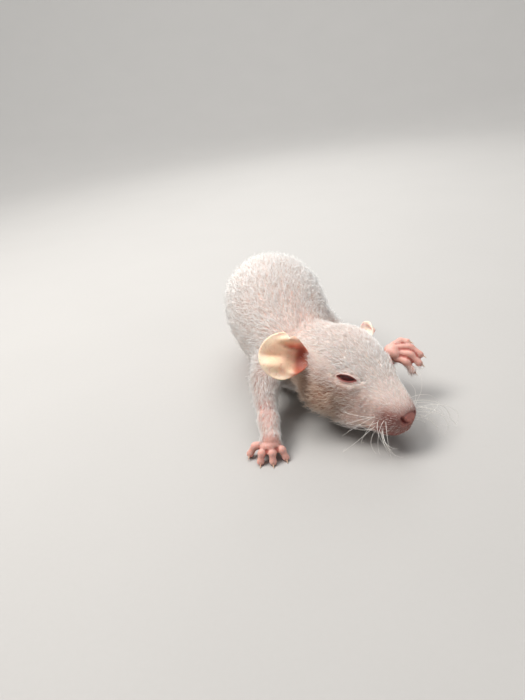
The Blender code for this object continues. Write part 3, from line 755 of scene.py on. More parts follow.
def skinTint(mesh, parts, groove):
    points, normals = pointsOf(mesh), pointsOf(mesh, "normal")
    local = leftSide(points)
    weight = partWeights(mesh, parts, 10)
    head = weight["head"]
    limbs = ("foreleg_right", "foreleg_left", "hind_leg_right", "hind_leg_left")
    bare = [weight[name] for name in pawNodes.values()]
    under = ramp(-0.1, -0.6, normals[:, 2])
    # hollows between knuckles, in folds and around the nails are painted redder, as painted shade
    hollow = ((spread(mesh, points, 5) - points) * normals).sum(axis=1)
    away = lidEdge(local)[0]
    eyes = parts["head"] & (local[:, 1] < -12.0)
    nose = head * ramp(-35.4, -36.8, local[:, 1])
    lips = head * ramp(face["mouth"]["ends"], face["mouth"]["ends"] - 3, local[:, 1])
    return layered(
        "underCoat", len(points),
        # painted shade in the grooves of the nape's folds
        ("mouth", 0.25 * groove),
        ("crown", head * ramp(-2.0, 4.0, local[:, 2])),
        # painted shade: the lower cheeks in warm shade
        ("paintedWarmShade", 0.85 * head * ramp(3.5, -1.0, local[:, 2]) * ramp(-29.0, -22.0, local[:, 1])),
        ("muzzle", head * ramp(-29.5, -34.0, local[:, 1]) * ramp(2.0, -1.5, local[:, 2])),
        *[("foreleg", weight[name]) for name in limbs],
        # the paws' undersides take the palms' own redder skin, darkened further as painted shade beneath
        *[layer for paw in bare for layer in (("paw", paw), ("palm", paw * under))],
        ("tail", sum(weight[name] for name in tailNodes)),
        ("palm", np.clip(sum(bare) * hollow / 0.05, 0, 0.9)),
        ("knuckle", np.clip(sum(bare) * -hollow / 0.09, 0, 0.25)),
        ("lids", eyes * 0.35 * hump(away, 1.0)),
        # the lids' edges: the lower edge's own dark red, and painted shade on the upper edge under the furry
        # lid
        ("lidRim", eyes * ramp(0.46, 0.2, away)),
        ("nose", nose * ramp(1.25, 0.9, leatherRing(local))),
        # painted shade in the sunken nostrils
        ("nostril", nose * hump(nostrilDistance(local), face["nostril"]["wide"] * 1.1)),
        # painted shade along the groove of the mouth
        ("mouth", lips * 0.8 * hump(local[:, 2] - mouthLine(local[:, 1]), 0.34)),
    )


def storeTint(mesh, tint):
    storeField(mesh, "tint", np.concatenate([np.clip(tint, 0, 1), np.ones((len(tint), 1))], axis=1))


def outerShell(mesh):
    # keeps the outer surface, without the closed hollows between the shapes inside it
    shape = bmesh.new()
    shape.from_mesh(mesh)
    first = max(shape.verts, key=lambda v: v.co.z)
    seen, ahead = {first}, [first]
    while ahead:
        for edge in ahead.pop().link_edges:
            for vert in edge.verts:
                if vert not in seen:
                    seen.add(vert)
                    ahead.append(vert)
    bmesh.ops.delete(shape, geom=[v for v in shape.verts if v not in seen], context="VERTS")
    shape.to_mesh(mesh)
    shape.free()
    mesh.update()


def makeSkin(softPaws):
    sources = {name: [nodeShape(name)] for name in bodyNodes}
    sources["head"] = headShapes()
    for name, place, radii in skinForm["fillings"]:
        sources[name].append(ellipsoid(place, radii))
    for key, name in pawNodes.items():
        sources[name] = softPaws[key]
    sources = {name: [grown(part, skinForm["grow"]) for part in parts] for name, parts in sources.items()}
    obj = objectOf(meshOf("skin", [part for parts in sources.values() for part in parts]), "skin")
    remesh = obj.modifiers.new("one surface", "REMESH")
    remesh.mode = "VOXEL"
    remesh.voxel_size = skinForm["voxel"]
    mesh = applied(obj)
    outerShell(mesh)
    print("skin surface", len(mesh.vertices))

    names = list(sources)
    tree = KDTree(sum(len(part[0]) for parts in sources.values() for part in parts))
    for i, parts in enumerate(sources.values()):
        for verts, _ in parts:
            for co in verts:
                tree.insert(co, i)
    tree.balance()

    def labels():
        return np.array([tree.find(co)[1] for co in pointsOf(obj.data)])

    label = labels()
    soft = np.array([skinForm["softness"].get(name, skinForm["pawSoftness"]) for name in names])[label]
    depth = np.array([skinForm["coatDepth"].get(name, 0.0) for name in names])[label]
    local = toHead(pointsOf(mesh))
    inHead = label == names.index("head")
    soft += inHead * ramp(-26.0, -20.0, local[:, 1]) * (skinForm["jawSoftness"] - soft)
    soft += inHead * ramp(-9.0, -3.0, local[:, 1]) * (skinForm["skullSoftness"] - soft)
    vertexGroup(obj, "soft", spread(mesh, soft, 12))
    smooth = obj.modifiers.new("soft", "SMOOTH")
    smooth.factor = 0.5
    smooth.iterations = skinForm["smoothRounds"]
    smooth.vertex_group = "soft"
    mesh = applied(obj)
    depth = spread(mesh, depth, 60)
    points = pointsOf(mesh) - pointsOf(mesh, "normal") * (skinForm["grow"] + depth)[:, None]
    points[:, 2] = np.maximum(points[:, 2], 0.0)
    setPoints(mesh, points)
    # the face and the paws keep most of their faces
    face = (label == names.index("head")) & (toHead(points)[:, 1] < -15.0)
    bare = np.isin(label, [names.index(n) for n in pawNodes.values()])
    obj.vertex_groups.clear()
    vertexGroup(obj, "fewer", np.where(face | bare, skinForm["faceFewer"], 1.0))
    decimate = obj.modifiers.new("fewer", "DECIMATE")
    decimate.ratio = skinForm["keptFaces"] / (2 * len(mesh.polygons))
    decimate.vertex_group = "fewer"
    mesh = applied(obj)
    obj.vertex_groups.clear()
    refineFace(mesh)
    print("skin kept", len(mesh.polygons))
    return obj, {name: (labels() == i) for i, name in enumerate(names)}


# Whiskers: long curled hairs in rows on the whisker pads.
# Places are the left side's own, in the head's axes
whiskerForm = {
    # where it leaves, its heading, how it bends and how long it is
    "left": [
        ((5.2, -34.0, -3.2), (0.62, -0.58, 0.66), (0.03, 0.04, -0.20), 14.0),
        ((5.7, -32.0, -3.2), (0.80, -0.36, 0.58), (0.02, -0.02, -0.16), 17.0),
        ((5.5, -34.2, -5.0), (0.66, -0.68, 0.44), (-0.02, 0.08, -0.14), 13.0),
        ((6.0, -32.2, -5.0), (0.84, -0.44, 0.38), (-0.02, 0.04, -0.11), 16.0),
        ((5.0, -34.2, -6.6), (0.68, -0.66, 0.26), (-0.10, 0.08, -0.04), 10.0),
        ((5.6, -32.4, -6.6), (0.84, -0.40, 0.24), (-0.10, 0.10, -0.04), 12.0),
    ],
    "right": [
        ((5.4, -33.6, -3.4), (0.88, -0.36, 0.26), (-0.30, -0.02, -0.20), 12.0),
        ((5.9, -31.6, -3.2), (0.95, 0.10, 0.20), (-0.16, 0.12, -0.18), 14.0),
        ((5.6, -34.0, -5.2), (0.76, -0.50, -0.10), (-0.30, 0.04, -0.04), 10.0),
        ((6.2, -32.0, -5.0), (0.90, -0.05, -0.20), (-0.24, 0.14, -0.04), 12.0),
        ((5.2, -34.0, -6.6), (0.70, -0.46, -0.30), (-0.30, -0.06, 0.12), 6.5),
        ((5.8, -32.2, -6.6), (0.80, 0.10, -0.30), (-0.26, 0.14, 0.12), 7.5),
    ],
    "near": 3,          # whiskers around each of these
    "stray": 0.5,
    "strayWay": (0.3, 1.0, 0.8),
    "headingStray": 0.12,
    "curlStray": 0.25,
    "tightness": (0.8, 1.5),
    "sunk": 1.2,
    "longer": (0.75, 1.45),
    # the radius of their curl at the root and at the tip
    "curl": {"left": (11.0, 2.8), "right": (7.0, 2.0)},
    "radius": 0.055,
    "steps": 26,
    "floor": 0.4,
    "seed": 5,
}


def whiskerShapes():
    draw = np.random.default_rng(whiskerForm["seed"])
    steps = whiskerForm["steps"]
    shapes = []
    for side, name in ((1, "left"), (-1, "right")):
        flip = np.array((side, 1.0, 1.0))
        wideCurl, tightCurl = whiskerForm["curl"][name]
        for root, heading, bend, length in whiskerForm[name]:
            for _ in range(whiskerForm["near"]):
                place = np.array(root) + draw.normal(0, whiskerForm["stray"], 3) * whiskerForm["strayWay"]
                way = unit(unit(heading) + draw.normal(0, whiskerForm["headingStray"], 3))
                axis = unit(np.cross(way, unit(bend) + draw.normal(0, whiskerForm["curlStray"], 3)))
                stride = length * draw.uniform(*whiskerForm["longer"]) / steps
                tight = draw.uniform(*whiskerForm["tightness"])
                place, way = fromHead((place - way * whiskerForm["sunk"]) * flip), headWay(way * flip)
                axis = Vector(headWay(axis * flip)) * side
                rows = []
                for n in range(steps + 1):
                    t = n / steps
                    rows.append((*place, whiskerForm["radius"] * (1 - 0.8 * t)))
                    bow = wideCurl + (tightCurl - wideCurl) * t
                    way = np.array(Matrix.Rotation(stride / (bow * tight), 3, axis) @ Vector(way))
                    if place[2] + way[2] * stride < whiskerForm["floor"]:
                        way = unit(way * (1, 1, 0) + (0, 0, 0.05))
                    place = place + way * stride
                shapes.append(sweep(rows, 5, pointed=True))
    return shapes


# The coat: where its parts grow, which way it lies, how long and how close it is
coatForm = {
    "spreadRounds": 14,
    # length in millimetres by part, before the changes within the head and along the legs
    "length": {"torso": 3.1, "neck": 2.4, "head": 1.5, "foreleg_right": 2.1, "foreleg_left": 2.1,
               "hind_leg_right": 2.2, "hind_leg_left": 2.2, "tail_base": 1.2, "tail_middle": 0.8,
               "tail_tip": 0.7},
    "otherLength": 0.6,
    "cheekLength": 2.7,
    "muzzleLength": 0.95,
    "chinLength": 2.3,
    # each zone: kind of tuft and how many to a square millimetre
    "zones": {
        "coatCrown": ("short", 15.0),
        "coatCheekRight": ("curly", 9.5),
        "coatCheekLeft": ("curly", 7.0),
        "coatMuzzle": ("short", 13.0),
        "coatNeck": ("soft", 10.0),
        "coatShoulders": ("curly", 8.0),
        "coatBack": ("soft", 8.0),
        "coatRump": ("curly", 6.8),
        "coatFlanks": ("curly", 5.0),
        "coatForelegs": ("arm", 13.0),
        "coatHindlegs": ("soft", 5.0),
        "coatTail": ("short", 2.6),
        "coatPaws": ("arm", 8.0),
    },
    "lengthSpread": 0.36,
    "turnSpread": (0.32, 0.30, 0.5),
    "patch": 0.003,
    "unwrap": {"faces": 5000, "angle": 66.0, "margin": 0.004},
    "clearance": 0.02,      # between the hairs and the floor
    "seed": 11,
}
# Each kind of hair, for a length of 1 along +X: how thick, how far it rises, how it waves
tuftKinds = {
    "soft": {"radius": 0.020, "rise": 0.42, "wave": 0.11, "turns": 0.9, "rings": 5, "count": 8},
    "curly": {"radius": 0.019, "rise": 0.52, "wave": 0.18, "turns": 1.2, "rings": 6, "count": 8},
    "arm": {"radius": 0.028, "rise": 0.36, "wave": 0.12, "turns": 0.9, "rings": 4, "count": 6},
    "short": {"radius": 0.034, "rise": 0.24, "wave": 0.07, "turns": 0.7, "rings": 4, "count": 6},
}
# a hair's thickness from its root on; those of few rings start at the second
hairTaper = (1.0, 0.95, 0.85, 0.7, 0.5, 0.4, 0.3)


def tuftShapes(kind, draw):
    form = tuftKinds[kind]
    group = bpy.data.collections.new("tufts " + kind)
    scene.collection.children.link(group)
    for number in range(form["count"]):
        rings = form["rings"]
        phase, lean = draw.uniform(0, math.tau), draw.uniform(0.8, 1.25)
        rows = []
        for n in range(rings + 1):
            t = n / rings
            swing = form["wave"] * t ** 0.8
            turn = math.tau * form["turns"] * t + phase
            rise = form["rise"] * lean * (1 - (1 - t) ** 2) * (1 - 0.45 * t)
            rows.append((
                t * (1 - 0.25 * form["wave"] * lean) - 0.02,
                swing * (math.sin(turn) - math.sin(phase) * (1 - t)),
                rise + 0.6 * swing * math.cos(turn + 0.9) - 0.03,
                form["radius"] * hairTaper[n if rings > 4 else n + 1],
            ))
        verts, faces = sweep(rows, 3, pointed=True)
        mesh = meshOf("tuft %s %02d" % (kind, number), [(verts, faces)])
        along = np.append(np.repeat(np.arange(rings) / rings, 3), 1.0)
        around = np.append(np.tile((0.0, 0.5, 1.0), rings), 0.5)
        storeField(mesh, "along", along)
        storeField(mesh, "tuftMap", np.stack([around, along, along * 0], axis=1))
        group.objects.link(bpy.data.objects.new(mesh.name, mesh))
    return group


def nodeTools(tree):
    # what adds a node, a sum and a scaled vector to a tree. Inputs are links or values
    def add(kind, inputs=(), **settings):
        node = tree.nodes.new(kind)
        for key, value in settings.items():
            setattr(node, key, value)
        for key, value in dict(inputs).items():
            if hasattr(value, "is_output"):
                tree.links.new(value, node.inputs[key])
            else:
                node.inputs[key].default_value = value
        return node

    def reckon(operation, *values):
        return add("ShaderNodeMath", dict(enumerate(values)), operation=operation).outputs[0]

    def scaled(vector, factor):
        return add("ShaderNodeVectorMath", {0: vector, "Scale": factor}, operation="SCALE").outputs[0]

    return add, reckon, scaled


def tuftTree():
    # hairs on points over a skin, turned to its lie, each with its patch of the skin's unwrap
    tree = bpy.data.node_groups.new("tufts over skin", "GeometryNodeTree")
    names = {}
    for label, kind, value in (
        ("Skin", "Geometry", None), ("Tufts", "Collection", None), ("Unwrap", "Object", None),
        ("Material", "Material", None), ("Tufts Per Area", "Float", 5.0), ("Tuft Count", "Int", 8),
        ("Length Spread", "Float", 0.25), ("Turn Spread", "Vector", (0.3, 0.2, 0.4)),
        ("Patch", "Float", 0.003), ("Seed", "Int", 1),
    ):
        socket = tree.interface.new_socket(label, in_out="INPUT", socket_type="NodeSocket" + kind)
        if value is not None:
            socket.default_value = value
        names[label] = socket.identifier
    tree.interface.new_socket("Coat", in_out="OUTPUT", socket_type="NodeSocketGeometry")
    given, leave = tree.nodes.new("NodeGroupInput").outputs, tree.nodes.new("NodeGroupOutput")
    add, reckon, scaled = nodeTools(tree)

    def read(name, kind="FLOAT"):
        return add("GeometryNodeInputNamedAttribute", {"Name": name}, data_type=kind).outputs["Attribute"]

    def stored(geometry, name, value, kind="FLOAT_VECTOR", domain="POINT"):
        return add("GeometryNodeStoreNamedAttribute", {"Geometry": geometry, "Name": name, "Value": value},
                   data_type=kind, domain=domain).outputs["Geometry"]

    unwrap = add("GeometryNodeObjectInfo", {"Object": given["Unwrap"]}).outputs["Geometry"]
    points = add("GeometryNodeDistributePointsOnFaces", {
        "Mesh": given["Skin"],
        "Distance Min": reckon("SQRT", reckon("DIVIDE", 0.62, given["Tufts Per Area"])),
        "Density Max": reckon("MULTIPLY", given["Tufts Per Area"], 4.0),
        "Density Factor": read("closeness"), "Seed": given["Seed"],
    }, distribute_method="POISSON")
    place = add("GeometryNodeSampleNearestSurface", {
        "Mesh": unwrap, "Value": read("UVMap", "FLOAT_VECTOR"),
        "Sample Position": add("GeometryNodeInputPosition").outputs[0],
    }, data_type="FLOAT_VECTOR").outputs["Value"]
    rooted = stored(points.outputs["Points"], "rootMap", place)
    facing = stored(rooted, "outward", points.outputs["Normal"])
    lie = add("FunctionNodeAxesToRotation", {
        "Primary Axis": read("outward", "FLOAT_VECTOR"), "Secondary Axis": read("lie", "FLOAT_VECTOR"),
    }, primary_axis="Z", secondary_axis="X").outputs[0]
    stray = add("FunctionNodeRandomValue", {
        "Min": scaled(given["Turn Spread"], -1.0), "Max": given["Turn Spread"],
        "Seed": reckon("ADD", given["Seed"], 3),
    }, data_type="FLOAT_VECTOR").outputs["Value"]
    turned = add("FunctionNodeRotateRotation", {"Rotation": lie, "Rotate By": stray},
                 rotation_space="LOCAL").outputs[0]
    sizes = add("FunctionNodeRandomValue", {"Seed": reckon("ADD", given["Seed"], 5)}, data_type="FLOAT")
    share = reckon("MULTIPLY_ADD", sizes.outputs[1], given["Length Spread"],
                   reckon("SUBTRACT", 1.0, reckon("MULTIPLY", given["Length Spread"], 0.5)))
    which = add("FunctionNodeRandomValue", {
        "Seed": reckon("ADD", given["Seed"], 7), 5: reckon("SUBTRACT", given["Tuft Count"], 1),
    }, data_type="INT").outputs[2]
    shapes = add("GeometryNodeCollectionInfo", {
        "Collection": given["Tufts"], "Separate Children": True, "Reset Children": True,
    }).outputs[0]
    grown = add("GeometryNodeInstanceOnPoints", {
        "Points": facing, "Instance": shapes, "Pick Instance": True, "Instance Index": which,
        "Rotation": turned, "Scale": scaled((1.0, 1.0, 1.0), reckon("MULTIPLY", share, read("tuftLength"))),
    }).outputs[0]
    solid = add("GeometryNodeRealizeInstances", {"Geometry": grown}).outputs[0]
    patch = add("ShaderNodeVectorMath", {
        0: read("rootMap", "FLOAT_VECTOR"), 1: scaled(read("tuftMap", "FLOAT_VECTOR"), given["Patch"]),
    }, operation="ADD").outputs[0]
    mapped = stored(solid, "OFBake", patch, "FLOAT2", "CORNER")
    dressed = add("GeometryNodeSetMaterial", {"Geometry": mapped, "Material": given["Material"]}).outputs[0]
    tree.links.new(dressed, leave.inputs[0])
    return tree, names


def coatFields(mesh, parts, band, groove):
    # which way the coat lies, its length and closeness, at each point of the skin
    points, normals = pointsOf(mesh), pointsOf(mesh, "normal")
    local, localNormal = toHead(points), normals @ headTurn
    weight = partWeights(mesh, parts, coatForm["spreadRounds"])
    side = np.sign(local[:, 0]) * ramp(0.3, 2.0, np.abs(local[:, 0]))
    low = ramp(0.0, -0.7, localNormal[:, 2])
    flank = ramp(0.3, 0.9, np.abs(localNormal[:, 0]))
    headLie = np.stack([0.25 * side, np.ones(len(points)), -0.35 * flank - 0.1 * low], axis=1)
    torsoLie = np.stack([0 * side, np.ones(len(points)), -0.15 - 0.55 * np.abs(normals[:, 0])], axis=1)
    ways = {"torso": torsoLie, "neck": 0.5 * torsoLie + 0.5 * headWay(headLie), "head": headWay(headLie),
            "foreleg_right": (-0.15, -0.60, -0.78), "foreleg_left": (0.55, -0.45, 0.30),
            "hind_leg_right": (0.0, 0.25, -0.95), "hind_leg_left": (0.0, 0.25, -0.95)}
    lie = sum(weight[name][:, None] * unit(way) for name, way in ways.items())
    for name in parts:
        if name not in ways:
            way = (-0.1, -0.7, -0.5) if name.startswith("fore") else (0.0, 1.0, -0.2)
            lie += weight[name][:, None] * unit(way)
    lie = unit(lie - normals * (lie * normals).sum(axis=1)[:, None])
    length = sum(weight[name] * coatForm["length"].get(name, coatForm["otherLength"]) for name in parts)
    # the forelegs' coat shortens towards the paws
    length -= weight["foreleg_right"] * 0.4 * ramp(-16.0, -30.0, points[:, 1])
    cheek = ramp(2.0, -3.0, local[:, 2]) * ramp(-27.0, -20.0, local[:, 1]) * flank
    muzzle = ramp(-24.0, -30.0, local[:, 1])
    inHead, headLength = weight["head"], coatForm["length"]["head"]
    length += inHead * cheek * (coatForm["cheekLength"] - headLength)
    length += inHead * muzzle * (coatForm["muzzleLength"] - length)
    length += inHead * low * ramp(-34.0, -26.0, local[:, 1]) * (coatForm["chinLength"] - headLength) * 0.7
    # the forelegs' coat runs on over the wrists
    sleeves = weight["forepaw_right"] * ramp(-36.6, -33.2, points[:, 1])
    sleeves = sleeves * ramp(3.6, 2.6, np.abs(points[:, 0] + 9.2))
    sleeves = sleeves + weight["forepaw_left"] * ramp(12.4, 11.0, points[:, 2])
    furry = sum(weight[name] for name in ways) + sleeves
    length += sleeves * 0.9
    length *= 1 - 0.3 * band
    closeness = 0.38 + 0.62 * ramp(0.35, 0.75, furry)
    closeness *= (1 - 0.4 * inHead * cheek) * (1 - 0.4 * groove)
    # none on the lids' edges, the nose, the lips, the palms and the soles; sparse on the muzzle
    here = leftSide(points)
    away = lidEdge(here)[0]
    closeness *= 1 - inHead * ramp(0.44, 0.24, away - 0.8 * ramp(-21.2, -23.0, here[:, 1]))
    closeness *= 1 - inHead * ramp(-35.4, -36.4, here[:, 1]) * ramp(1.3, 1.0, leatherRing(here))
    closeness *= 1 - 0.6 * inHead * ramp(-30.0, -34.0, here[:, 1]) * ramp(1.5, -1.0, here[:, 2])
    rise = here[:, 2] - mouthLine(here[:, 1])
    closeness *= 1 - inHead * ramp(-28.0, -31.0, here[:, 1]) * hump(rise, 0.5)
    paw = np.clip(sum(weight[name] for name in pawNodes.values()) - sleeves, 0, 1)
    closeness *= 1 - paw * ramp(0.3, -0.1, normals[:, 2])
    closeness *= ramp(0.15, 0.4, points[:, 2])
    storeField(mesh, "lie", lie)
    storeField(mesh, "tuftLength", np.maximum(length * (0.55 + 0.45 * ramp(0.4, 0.95, furry)), 0.35))
    storeField(mesh, "closeness", closeness)
    # hair is nearly white, greyer on the back of the crown;
    # painted golden shade in the curls of the cheeks and on the lower flanks, where they face down
    storeTint(mesh, layered(
        "hairTip", len(points),
        ("crown", 0.25 * inHead * ramp(-1.0, 4.0, local[:, 2]) * ramp(-20.0, -14.0, local[:, 1])),
        # painted warm shade in the cheeks' curls, stronger on the right cheek
        ("paintedGoldenShade", (0.5 - 0.2 * side) * inHead * cheek),
        # painted shade on the undersides of the body
        ("paintedGoldenShade", 0.16 * weight["torso"] * ramp(0.2, -0.5, normals[:, 2])),
        ("muzzle", 0.4 * inHead * muzzle * ramp(1.5, -1.0, local[:, 2])),
        # painted shade in the grooves of the nape's folds
        ("paintedWarmShade", 0.3 * groove),
    ))


def faceVectors(mesh, what):
    found = np.empty(len(mesh.polygons) * 3, np.float32)
    mesh.polygons.foreach_get(what, found)
    return found.reshape(-1, 3)


def coatZones(mesh, parts):
    # which coat piece grows from each face: the number of its zone, or none
    zones = list(coatForm["zones"])
    count = len(mesh.polygons)
    corners = np.empty(len(mesh.loops), np.int32)
    mesh.loops.foreach_get("vertex_index", corners)
    first = np.empty(count, np.int32)
    mesh.polygons.foreach_get("loop_start", first)
    centre, normal = faceVectors(mesh, "center"), faceVectors(mesh, "normal")
    local = toHead(centre)
    inPart = {name: mask[corners[first]] for name, mask in parts.items()}
    zone = np.full(count, -1)

    def give(name, mask):
        zone[mask & (zone < 0)] = zones.index(name)

    give("coatMuzzle", inPart["head"] & (local[:, 1] < -27.5))
    give("coatCrown", inPart["head"] & (local[:, 2] > 2.5) & (np.abs(local[:, 0]) < 8.5))
    give("coatCheekRight", inPart["head"] & (local[:, 0] < 0))
    give("coatCheekLeft", inPart["head"])
    give("coatNeck", inPart["neck"])
    give("coatFlanks", inPart["torso"] & (normal[:, 2] < -0.05))
    give("coatShoulders", inPart["torso"] & (centre[:, 1] < 8.0))
    give("coatBack", inPart["torso"] & (centre[:, 1] < 21.0))
    give("coatRump", inPart["torso"])
    give("coatForelegs", inPart["foreleg_right"] | inPart["foreleg_left"]
         | (inPart["forepaw_right"] & (centre[:, 1] > -36.0)))
    give("coatHindlegs", inPart["hind_leg_right"] | inPart["hind_leg_left"])
    give("coatTail", np.any([inPart[name] for name in tailNodes], axis=0))
    give("coatPaws", zone < 0)
    return zone


def unwrapOf(skin):
    # a plainer copy of the skin with an unwrap of its own
    plain = objectOf(skin.data.copy(), "unwrap")
    fewer = plain.modifiers.new("fewer", "DECIMATE")
    fewer.ratio = coatForm["unwrap"]["faces"] / len(plain.data.polygons)
    applied(plain)
    bpy.ops.object.select_all(action="DESELECT")
    plain.select_set(True)
    bpy.context.view_layer.objects.active = plain
    bpy.ops.object.mode_set(mode="EDIT")
    bpy.ops.mesh.select_all(action="SELECT")
    bpy.ops.uv.smart_project(angle_limit=math.radians(coatForm["unwrap"]["angle"]),
                             island_margin=coatForm["unwrap"]["margin"])
    bpy.ops.object.mode_set(mode="OBJECT")
    plain.data.uv_layers[0].name = "UVMap"
    return plain


def makeCoat(skin, parts, band, groove):
    draw = np.random.default_rng(coatForm["seed"])
    ground = objectOf(skin.data.copy(), "ground")
    coatFields(ground.data, parts, band, groove)
    zone = coatZones(ground.data, parts)
    plain = unwrapOf(skin)
    print("coat fields and unwrap")
    groups = {kind: tuftShapes(kind, draw) for kind in tuftKinds}
    tree, names = tuftTree()
    total = 0
    for number, (name, (kind, perArea)) in enumerate(coatForm["zones"].items()):
        shape = bmesh.new()
        shape.from_mesh(ground.data)
        shape.faces.ensure_lookup_table()
        bmesh.ops.delete(shape, geom=[f for f in shape.faces if zone[f.index] != number], context="FACES")
        mesh = bpy.data.meshes.new(name)
        shape.to_mesh(mesh)
        shape.free()
        mesh.materials.clear()
        piece = objectOf(mesh, name)
        grow = piece.modifiers.new("tufts", "NODES")
        grow.node_group = tree
        for label, value in (
            ("Tufts", groups[kind]), ("Unwrap", plain), ("Material", coatMaterial),
            ("Tufts Per Area", perArea), ("Tuft Count", tuftKinds[kind]["count"]),
            ("Length Spread", coatForm["lengthSpread"] * 2),
            ("Turn Spread", coatForm["turnSpread"]), ("Patch", coatForm["patch"]),
            ("Seed", coatForm["seed"] + number),
        ):
            grow[names[label]] = value
        mesh = applied(piece)
        for extra in ("rootMap", "tuftMap", "outward", "lie", "closeness", "tuftLength"):
            if extra in mesh.attributes:
                mesh.attributes.remove(mesh.attributes[extra])
        points = pointsOf(mesh)
        points[:, 2] = np.maximum(points[:, 2], coatForm["clearance"])
        setPoints(mesh, points)
        shadeSmooth(mesh)
        finishPiece(piece)
        triangles = len(mesh.loops) - 2 * len(mesh.polygons)
        total += triangles
        print(name, triangles)
    print("coat in all", total)
    for group in groups.values():
        for obj in list(group.objects):
            bpy.data.objects.remove(obj)
        bpy.data.collections.remove(group)
    for obj in (ground, plain):
        bpy.data.objects.remove(obj)


# Surfaces: colour from the piece's tint or a named one, how it varies, how rough, and its fine relief
surfaces = {
    # the coat's roots are painted darker and pinker: painted shade deep in the coat
    "coat": {"root": "paintedRootShade", "vary": 0.07, "scale": 420, "rough": (0.5, 0.7), "fine": 2400,
             "relief": 0.15, "sheen": 0.35},
    "skin": {"vary": 0.12, "scale": 620, "rough": (0.42, 0.62), "fine": 2600, "relief": 0.35, "deep": 0.3,
             "rings": 0.85},
    "ear": {"vary": 0.10, "scale": 380, "rough": (0.45, 0.62), "fine": 2200, "relief": 0.25, "deep": 0.5,
            "veins": 0.35},
    "eye": {"colour": "eye", "vary": 0.5, "scale": 700, "rough": (0.05, 0.09), "fine": 900, "relief": 0.02,
            "wet": 1.0},
    "claw": {"colour": "claw", "vary": 0.12, "scale": 1500, "rough": (0.28, 0.42), "fine": 4000,
             "relief": 0.2, "deep": 0.25},
    "whisker": {"colour": "whisker", "vary": 0.08, "scale": 900, "rough": (0.35, 0.5), "fine": 3000,
                "relief": 0.1},
    "floor": {"colour": "floor", "vary": 0.012, "scale": 25.0, "rough": (0.7, 0.82), "fine": 900,
              "relief": 0.05},
}


def surfaceMaterial(name, form):
    material = bpy.data.materials.new(name)
    material.use_nodes = True
    tree = material.node_tree
    shader = tree.nodes["Principled BSDF"]
    add, reckon, scaled = nodeTools(tree)
    place = add("ShaderNodeTexCoord").outputs["Object"]

    def between(value, low, high, first, last):
        return add("ShaderNodeMapRange", {"Value": value, "From Min": low, "From Max": high, "To Min": first,
                                          "To Max": last}).outputs["Result"]

    def read(attribute, kind):
        return add("ShaderNodeAttribute", attribute_name=attribute).outputs[kind]

    def noise(scale, **others):
        return add("ShaderNodeTexNoise", {"Vector": place, "Scale": scale, **others}).outputs["Fac"]

    def mixed(share, first, second):
        return add("ShaderNodeMix", {0: share, 6: first, 7: second}, data_type="RGBA").outputs[2]

    broad, fine = noise(form["scale"], Detail=3.0), noise(form["fine"], Detail=3.0)
    colour = tuple(linear(form["colour"])) if "colour" in form else read("tint", "Color")
    # painted shade at the hairs' roots
    if "root" in form:
        along = between(read("along", "Fac"), 0.0, 0.6, 0.0, 1.0)
        root = tuple(linear(form["root"]))
        shaded = add("ShaderNodeVectorMath", {0: colour, 1: root}, operation="MULTIPLY").outputs[0]
        colour = mixed(along, shaded, colour)
    if "veins" in form:
        near = reckon("ABSOLUTE", reckon("SUBTRACT", noise(form["scale"] * 0.9, Distortion=1.2), 0.5))
        colour = mixed(between(near, 0.0, 0.022, form["veins"], 0.0), colour, (*linear("earHollow"), 1.0))
    shade = between(broad, 0.3, 0.7, 1 - form["vary"], 1 + form["vary"] * 0.4)
    tree.links.new(scaled(colour, shade), shader.inputs["Base Color"])
    tree.links.new(between(fine, 0.3, 0.7, *form["rough"]), shader.inputs["Roughness"])
    height = fine
    if "rings" in form:
        # the tail's rings of scales
        wave = reckon("SINE", reckon("MULTIPLY", read("tailWay", "Fac"), math.tau / form["rings"]))
        height = reckon("ADD", fine, reckon("MULTIPLY", wave, read("tailShare", "Fac")))
    bump = add("ShaderNodeBump", {"Height": height, "Strength": form["relief"], "Distance": 0.0002})
    tree.links.new(bump.outputs[0], shader.inputs["Normal"])
    if "deep" in form:
        shader.inputs["Subsurface Weight"].default_value = form["deep"]
        shader.inputs["Subsurface Radius"].default_value = (1.0, 0.35, 0.22)
        shader.inputs["Subsurface Scale"].default_value = 0.0014
    if "sheen" in form:
        shader.inputs["Sheen Weight"].default_value = form["sheen"]
        shader.inputs["Sheen Roughness"].default_value = 0.5
    if "wet" in form:
        shader.inputs["Coat Weight"].default_value = form["wet"]
        shader.inputs["Coat Roughness"].default_value = 0.03
    return material


def dress(piece, material):
    piece.data.materials.clear()
    piece.data.materials.append(material)
    shadeSmooth(piece.data)


def tailFields(mesh, parts):
    # how far along the tail each point of the skin is, in millimetres
    points = pointsOf(mesh)
    tail = np.any([parts[name] for name in tailNodes], axis=0)
    levels = np.arange(points[tail][:, 1].min() + 1.0, points[tail][:, 1].max(), 2.4)
    path = np.array([points[tail & (np.abs(points[:, 1] - y) < 1.2)].mean(axis=0) for y in levels])
    storeField(mesh, "tailWay", alongPath(points, path)[1])
    storeField(mesh, "tailShare", spread(mesh, tail.astype(float), 4))


# The camera stands where the photograph was taken from, and is a little tilted
cameraForm = {"place": (-8.0, -148.0, 92.0), "down": 28.0, "roll": 8.0, "focal": 540 / 700,
              "sensor": 36.0, "clip": (0.005, 20.0)}


